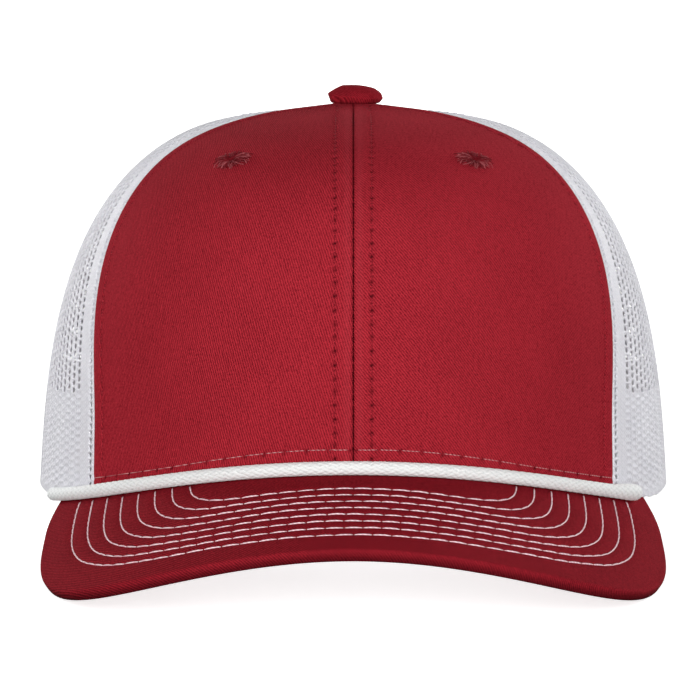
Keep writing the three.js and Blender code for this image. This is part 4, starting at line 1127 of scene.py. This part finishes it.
loose_rise = rng.uniform(0.1, 0.65, LOOSE_THREADS)[:, None] * np.sin(math.pi * loose_along) ** 0.8
loose_reach = lerp(loose_start, loose_end, loose_along)
loose_across = loose_reach * np.cos(loose_turn) * EYELET_STRETCH[0]
loose_up = loose_reach * np.sin(loose_turn) * EYELET_STRETCH[1]
loose_path = eyelet_spot + level * loose_across[..., None] + upward * loose_up[..., None]
loose_path = off_crown(loose_path, 0.25 + loose_rise - off_face(loose_path))
loose_thin = LOOSE_RADIUS * (1 - 0.5 * loose_along)
loose_out = outward_at(loose_path)
loose_shape, loose_faces = thread_tubes(loose_path, loose_out, loose_thin, LOOSE_SIDES)
loose_pale = np.clip(rng.normal(0.2, 0.4, LOOSE_THREADS), 0, 1)[:, None] * loose_along
loose_pale = np.repeat(loose_pale[..., None], LOOSE_SIDES, -1)
eyelet_points, eyelet_quads = joined([(eyelet_shape, eyelet_faces), (loose_shape, loose_faces)])
eyelet_pale = np.concatenate((np.zeros(eyelet_shape[..., 0].size), loose_pale.ravel()))


def embroidery_thread(tree):
    """Dull red thread, frayed pale at the tips of its loose ends, with a fine twist."""
    place = add_node(tree, "TexCoord", {}, "Object")
    twist = add_node(tree, "TexNoise", {"Vector": place, "Scale": 1400.0, "Detail": 2.0})
    yarns = {"Factor": twist, "A": linear("#3a050b"), "B": linear("#8a1d27")}
    dyed = add_node(tree, "Mix", yarns, "Result", data_type="RGBA")
    frayed = add_node(tree, "Attribute", {}, "Fac", attribute_name="pale")
    tips = {"Factor": frayed, "A": dyed, "B": linear("#d2747a")}
    return add_node(tree, "Mix", tips, "Result", data_type="RGBA"), twist


eyelet_thread = finish_material(
    "dark red embroidery thread", embroidery_thread, 0.06, Roughness=0.85, IOR=1.5,
    Specular_IOR_Level=0.05,
)
for hand, shape, faces in (
    ("right", eyelet_points, eyelet_quads), ("left", *mirrored(eyelet_points, eyelet_quads))
):
    eyelet = make_piece(
        f"sewn_eyelet_{hand}", shape, faces, "eyelet_thread", [f"eyelet_{hand}"], pale=eyelet_pale
    )
    eyelet.data.materials.append(eyelet_thread)


# Sweatband. A strip of white cotton twill over thin foam inside the rim, folded under at its
# foot and stitched along its upper edge.
BAND_HEIGHT, BAND_THICKNESS, BAND_INSET, BAND_INSET_AT_NET = 29.0, 1.5, 2.7, 0.95
BAND_STITCH_DROP, BAND_COLUMNS, BAND_ROWS = 3.0, 380, 34
STRAP_TUCK = 9.0
band_end_x = ARCH_HALF_WIDTH + STRAP_TUCK + 2 * CLEARANCE
band_end = math.pi - math.asin(band_end_x / (RIM_HALF_WIDTH - BAND_INSET))
band_azimuth = np.linspace(-band_end, band_end, BAND_COLUMNS)
band_foot = np.maximum(lower_edge(band_azimuth, -BAND_INSET, -PEAK_THICKNESS - CLEARANCE)[:, 2], 0)
rise_steps = np.linspace(0, 1, BAND_ROWS)
cap_turn = np.linspace(0, math.pi, 7)[1:-1]
half_thick = BAND_THICKNESS / 2
band_z = np.concatenate((
    half_thick + rise_steps * (BAND_HEIGHT - BAND_THICKNESS),
    BAND_HEIGHT - half_thick + half_thick * np.sin(cap_turn),
    half_thick + rise_steps[::-1] * (BAND_HEIGHT - BAND_THICKNESS),
    half_thick - half_thick * np.sin(cap_turn),
))
band_in = np.concatenate((
    np.zeros(BAND_ROWS), half_thick - half_thick * np.cos(cap_turn),
    np.full(BAND_ROWS, BAND_THICKNESS), half_thick + half_thick * np.cos(cap_turn),
))
stitch_line = bell(band_z - BAND_HEIGHT + BAND_STITCH_DROP, 0.6)
inner_side = band_in > half_thick
band_in = band_in - np.where(inner_side, 0.25 * stitch_line, 0)
wave_in = 0.18 * np.sin(band_azimuth * 31)[:, None] * np.sin(band_z / BAND_HEIGHT * math.pi)
beside_net = smooth(np.abs(np.degrees(band_azimuth)), 56, 62)[:, None]
inset = lerp(BAND_INSET, BAND_INSET_AT_NET, beside_net)
band_in = band_in * lerp(1, (BAND_INSET + BAND_THICKNESS - inset) / BAND_THICKNESS, beside_net)
distance = -inset - band_in - wave_in * np.where(inner_side, 0.5, 0.0)
z = band_foot[:, None] + band_z
band_shape = wall_point(band_azimuth[:, None] + 0 * z, z, distance)
band_faces = tube_faces(BAND_COLUMNS, band_shape.shape[1], turned=True)
band_gone = path_lengths(band_shape[:, 0])[:, None] + 0 * z
band = make_piece(
    "cotton_sweatband", band_shape, band_faces, "sweatband", ["sweatband"],
    np.stack((band_gone, z), -1), worn=0 * z,
)
band.data.materials.append(
    cotton_twill("white cotton twill, sweatband", "#d4d3d8", "#f3f2f5", "#f4f3f5", 0.7, 0.9)
)
stitch_z = band_foot + BAND_HEIGHT - BAND_STITCH_DROP
band_path = wall_point(band_azimuth, stitch_z, np.full(BAND_COLUMNS, -BAND_INSET - 1.3))
band_run = stitch_run(band_path, -outward_at(band_path), 3.2, WHITE_SHARE, WHITE_RADIUS)
sew("band_stitches", [band_run], "sweatband", white_thread)


# Arch binding. White woven tape folded over the cut edge of the net round the opening at the
# back, with a row of stitches near each edge.
BINDING_WIDTH, BINDING_THICKNESS, BINDING_STATIONS = 8.0, 0.8, 260
BINDING_STITCHES, BINDING_DIP = (6.4, 1.2), 0.18
CAD_NET_THICKNESS = 1.2


def back_point(x, z, distance):
    """Point at the back of the crown from its x and height, a distance out of its face: the
    azimuth is stepped until crown_at gives that x."""
    azimuth = math.pi - np.arcsin(x / RIM_HALF_WIDTH)
    for _ in range(12):
        spot = crown_at(azimuth, z / CROWN_HEIGHT)
        azimuth = azimuth - (x - spot[..., 0]) / (RIM_HALF_WIDTH * -np.cos(azimuth))
        azimuth = np.clip(azimuth, math.pi / 2, math.pi * 3 / 2)
    spot = crown_at(azimuth, np.maximum(z, 0) / CROWN_HEIGHT)
    spot[..., 2] = z
    return off_crown(spot, distance)


def rounded_line(start, end, count):
    """Points from one place of a section to another, closer together at both ends."""
    share = smooth(np.linspace(0, 1, count, endpoint=False), 0, 1)[:, None]
    return lerp(np.array(start), np.array(end), share)


leaf_out, leaf_in = CLEARANCE * 0.5, -CAD_NET_THICKNESS - CLEARANCE * 0.5
fold_out = -CLEARANCE - BINDING_THICKNESS
face_out, face_in = leaf_out + BINDING_THICKNESS, leaf_in - BINDING_THICKNESS
round_turn = np.linspace(math.pi / 2, 3 * math.pi / 2, 15)
half_fold = (face_out - face_in) / 2
half_way = (face_out + face_in) / 2
fold = np.stack(
    (fold_out + 1.0 + np.cos(round_turn), half_way + half_fold * np.sin(round_turn)), -1
)
section = np.concatenate((
    rounded_line((BINDING_WIDTH, leaf_out), (BINDING_WIDTH, face_out), 3),
    rounded_line((BINDING_WIDTH, face_out), fold[0], 22), fold[:-1],
    rounded_line(fold[-1], (BINDING_WIDTH, face_in), 22),
    rounded_line((BINDING_WIDTH, face_in), (BINDING_WIDTH, leaf_in), 3),
    rounded_line((BINDING_WIDTH, leaf_in), (-CLEARANCE, leaf_in), 4),
    rounded_line((-CLEARANCE, leaf_in), (-CLEARANCE, leaf_out), 2),
    rounded_line((-CLEARANCE, leaf_out), (BINDING_WIDTH, leaf_out), 4),
))
station = np.linspace(0, math.pi, BINDING_STATIONS)[:, None]
spread_out, stand = section[:, 0][None], section[:, 1][None]
dimples = sum(bell(spread_out - away, 0.5) for away in BINDING_STITCHES)
stand = stand - BINDING_DIP * dimples * np.sign(stand - half_way)
binding_x = (ARCH_HALF_WIDTH + spread_out) * np.cos(station)
binding_z = (ARCH_HEIGHT + spread_out) * np.sin(station)
binding_shape = back_point(binding_x, binding_z, stand + 0 * binding_x)
binding_shape[np.array((0, -1)), :, 2] = 0
binding_faces = grid_faces(BINDING_STATIONS, len(section), closed=True)
binding_uv = np.stack(np.broadcast_arrays(station * 50.0, spread_out * 1.0), -1)
binding = make_piece(
    "arch_binding", binding_shape, binding_faces, "binding", ["closure_binding"], binding_uv
)
binding.data.materials.append(tape)
tape_runs = []
station = np.linspace(0.03, math.pi - 0.03, 240)
for away in BINDING_STITCHES:
    for stand, facing in ((face_out - 0.16, 1), (face_in + 0.16, -1)):
        x = (ARCH_HALF_WIDTH + away) * np.cos(station)
        z = (ARCH_HEIGHT + away) * np.sin(station)
        path = back_point(x, z, stand + 0 * x)
        tape_runs.append(white_run(path, outward_at(path) * facing))
sew("binding_stitches", tape_runs, "binding", white_thread)


# Snap strap. One plain strap of moulded white polyethylene across the foot of the arch, with
# rounded edges, its ends sewn in under the binding.
STRAP_HEIGHT, STRAP_THICKNESS, STRAP_LIFT = 19.0, 1.5, 3.0
STRAP_COLUMNS, STRAP_AROUND, STRAP_EDGE_POWER = 160, 72, 0.35
strap_inset = -CAD_NET_THICKNESS - 2 * CLEARANCE - BINDING_THICKNESS
strap_half = ARCH_HALF_WIDTH + STRAP_TUCK
lip = np.linspace(0, 2 * math.pi, STRAP_AROUND, endpoint=False)
lip_x, lip_z = (np.sign(n) * np.abs(n) ** STRAP_EDGE_POWER for n in (np.cos(lip), np.sin(lip)))
strap_z = STRAP_LIFT + STRAP_HEIGHT / 2 * (1 + lip_z)
strap_d = strap_inset - STRAP_THICKNESS / 2 + STRAP_THICKNESS / 2 * lip_x
strap_x = np.linspace(strap_half, -strap_half, STRAP_COLUMNS)[:, None]
strap_shape = back_point(strap_x + 0 * strap_z, strap_z + 0 * strap_x, strap_d + 0 * strap_x)
strap_faces = tube_faces(STRAP_COLUMNS, STRAP_AROUND)
strap = make_piece("moulded_strap", strap_shape, strap_faces, "strap", ["snap_strap"])


def moulded_polyethylene(tree):
    """Faint orange peel of a moulded face, and slight cloudiness in the white."""
    place = add_node(tree, "TexCoord", {}, "Object")
    peel = add_node(tree, "TexNoise", {"Vector": place, "Scale": 700.0, "Detail": 2.0})
    cloud = add_node(tree, "TexNoise", {"Vector": place, "Scale": 60.0, "Detail": 2.0})
    whites = {"Factor": cloud, "A": linear("#dcdde0"), "B": linear("#f4f4f5")}
    return add_node(tree, "Mix", whites, "Result", data_type="RGBA"), peel


strap.data.materials.append(finish_material(
    "moulded white polyethylene", moulded_polyethylene, 0.02, Roughness=0.38, IOR=1.51
))


# Studio. A pale paper floor, one soft box in front, two strong low ones behind at the sides and
# a weak one at the back, which light the net and the panels' edges, and a long lens at the
# photograph's low viewing angle.
CAMERA_AIM = (0.0, 0.0, 50.0)
CAMERA_DISTANCE = 1200.0
CAMERA_RISE = math.radians(5.39)
FOCAL_PIXELS, FRAME_PIXELS, SENSOR = 4421.0, 700.0, 36.0
AIM_RIGHT, AIM_DOWN = -0.896, 15.09
LIGHT_AIM, LIGHT_SIZE, LIGHT_ALL_ROUND = (0, -0.02, 0.05), 1.0, 0.23

floor_mesh = bpy.data.meshes.new("paper_floor")
floor_mesh.from_pydata([(-9, -9, 0), (9, -9, 0), (9, 9, 0), (-9, 9, 0)], [], [(0, 1, 2, 3)])
floor = bpy.data.objects.new("paper_floor", floor_mesh)
bpy.context.scene.collection.objects.link(floor)


def studio_paper(tree):
    """Matt white paper with a faint grain."""
    place = add_node(tree, "TexCoord", {}, "Object")
    grain = add_node(tree, "TexNoise", {"Vector": place, "Scale": 1500.0})
    whites = {"Factor": grain, "A": linear("#f4f4f4"), "B": linear("#fafafa")}
    return add_node(tree, "Mix", whites, "Result", data_type="RGBA"), grain


floor_mesh.materials.append(finish_material(
    "white studio paper", studio_paper, 0.02, Roughness=0.95,
    Emission_Color=(1, 1, 1, 1), Emission_Strength=0.72,
))
floor.visible_diffuse = False
floor.visible_glossy = False

# Square soft boxes, with places in metres and powers in watts, turned towards the cap.
for name, place, power in (
    ("front_soft_box", (0.0, -2.35, 0.62), 57),
    ("left_soft_box", (-1.5, 1.75, 0.22), 58),
    ("right_soft_box", (1.5, 1.75, 0.22), 58),
    ("back_soft_box", (0.0, 2.3, 0.9), 10),
):
    lamp = bpy.data.lights.new(name, "AREA")
    lamp.shape = "SQUARE"
    lamp.size = LIGHT_SIZE
    lamp.energy = power
    box = bpy.data.objects.new(name, lamp)
    box.location = place
    way = Vector(LIGHT_AIM) - Vector(place)
    box.rotation_euler = way.to_track_quat("-Z", "Y").to_euler()
    bpy.context.scene.collection.objects.link(box)

world = bpy.data.worlds.new("studio")
world.use_nodes = True
sky = world.node_tree.nodes["Background"].inputs
sky["Color"].default_value = (1, 1, 1, 1)
sky["Strength"].default_value = LIGHT_ALL_ROUND
bpy.context.scene.world = world
bpy.context.scene.view_settings.view_transform = "Standard"

lens = bpy.data.cameras.new("long_lens")
lens.sensor_width = SENSOR
lens.lens = FOCAL_PIXELS * SENSOR / FRAME_PIXELS
lens.clip_end = 100
camera = bpy.data.objects.new("long_lens", lens)
back = np.array((0.0, -math.cos(CAMERA_RISE), math.sin(CAMERA_RISE)))
up = np.array((0.0, math.sin(CAMERA_RISE), math.cos(CAMERA_RISE)))
eye = np.array(CAMERA_AIM) + back * CAMERA_DISTANCE
target = np.array(CAMERA_AIM) - up * AIM_DOWN + (AIM_RIGHT, 0, 0)
eye, target = on_table(eye), on_table(target)
camera.location = eye
camera.rotation_euler = Vector(target - eye).to_track_quat("-Z", "Y").to_euler()
bpy.context.scene.collection.objects.link(camera)
bpy.context.scene.camera = camera
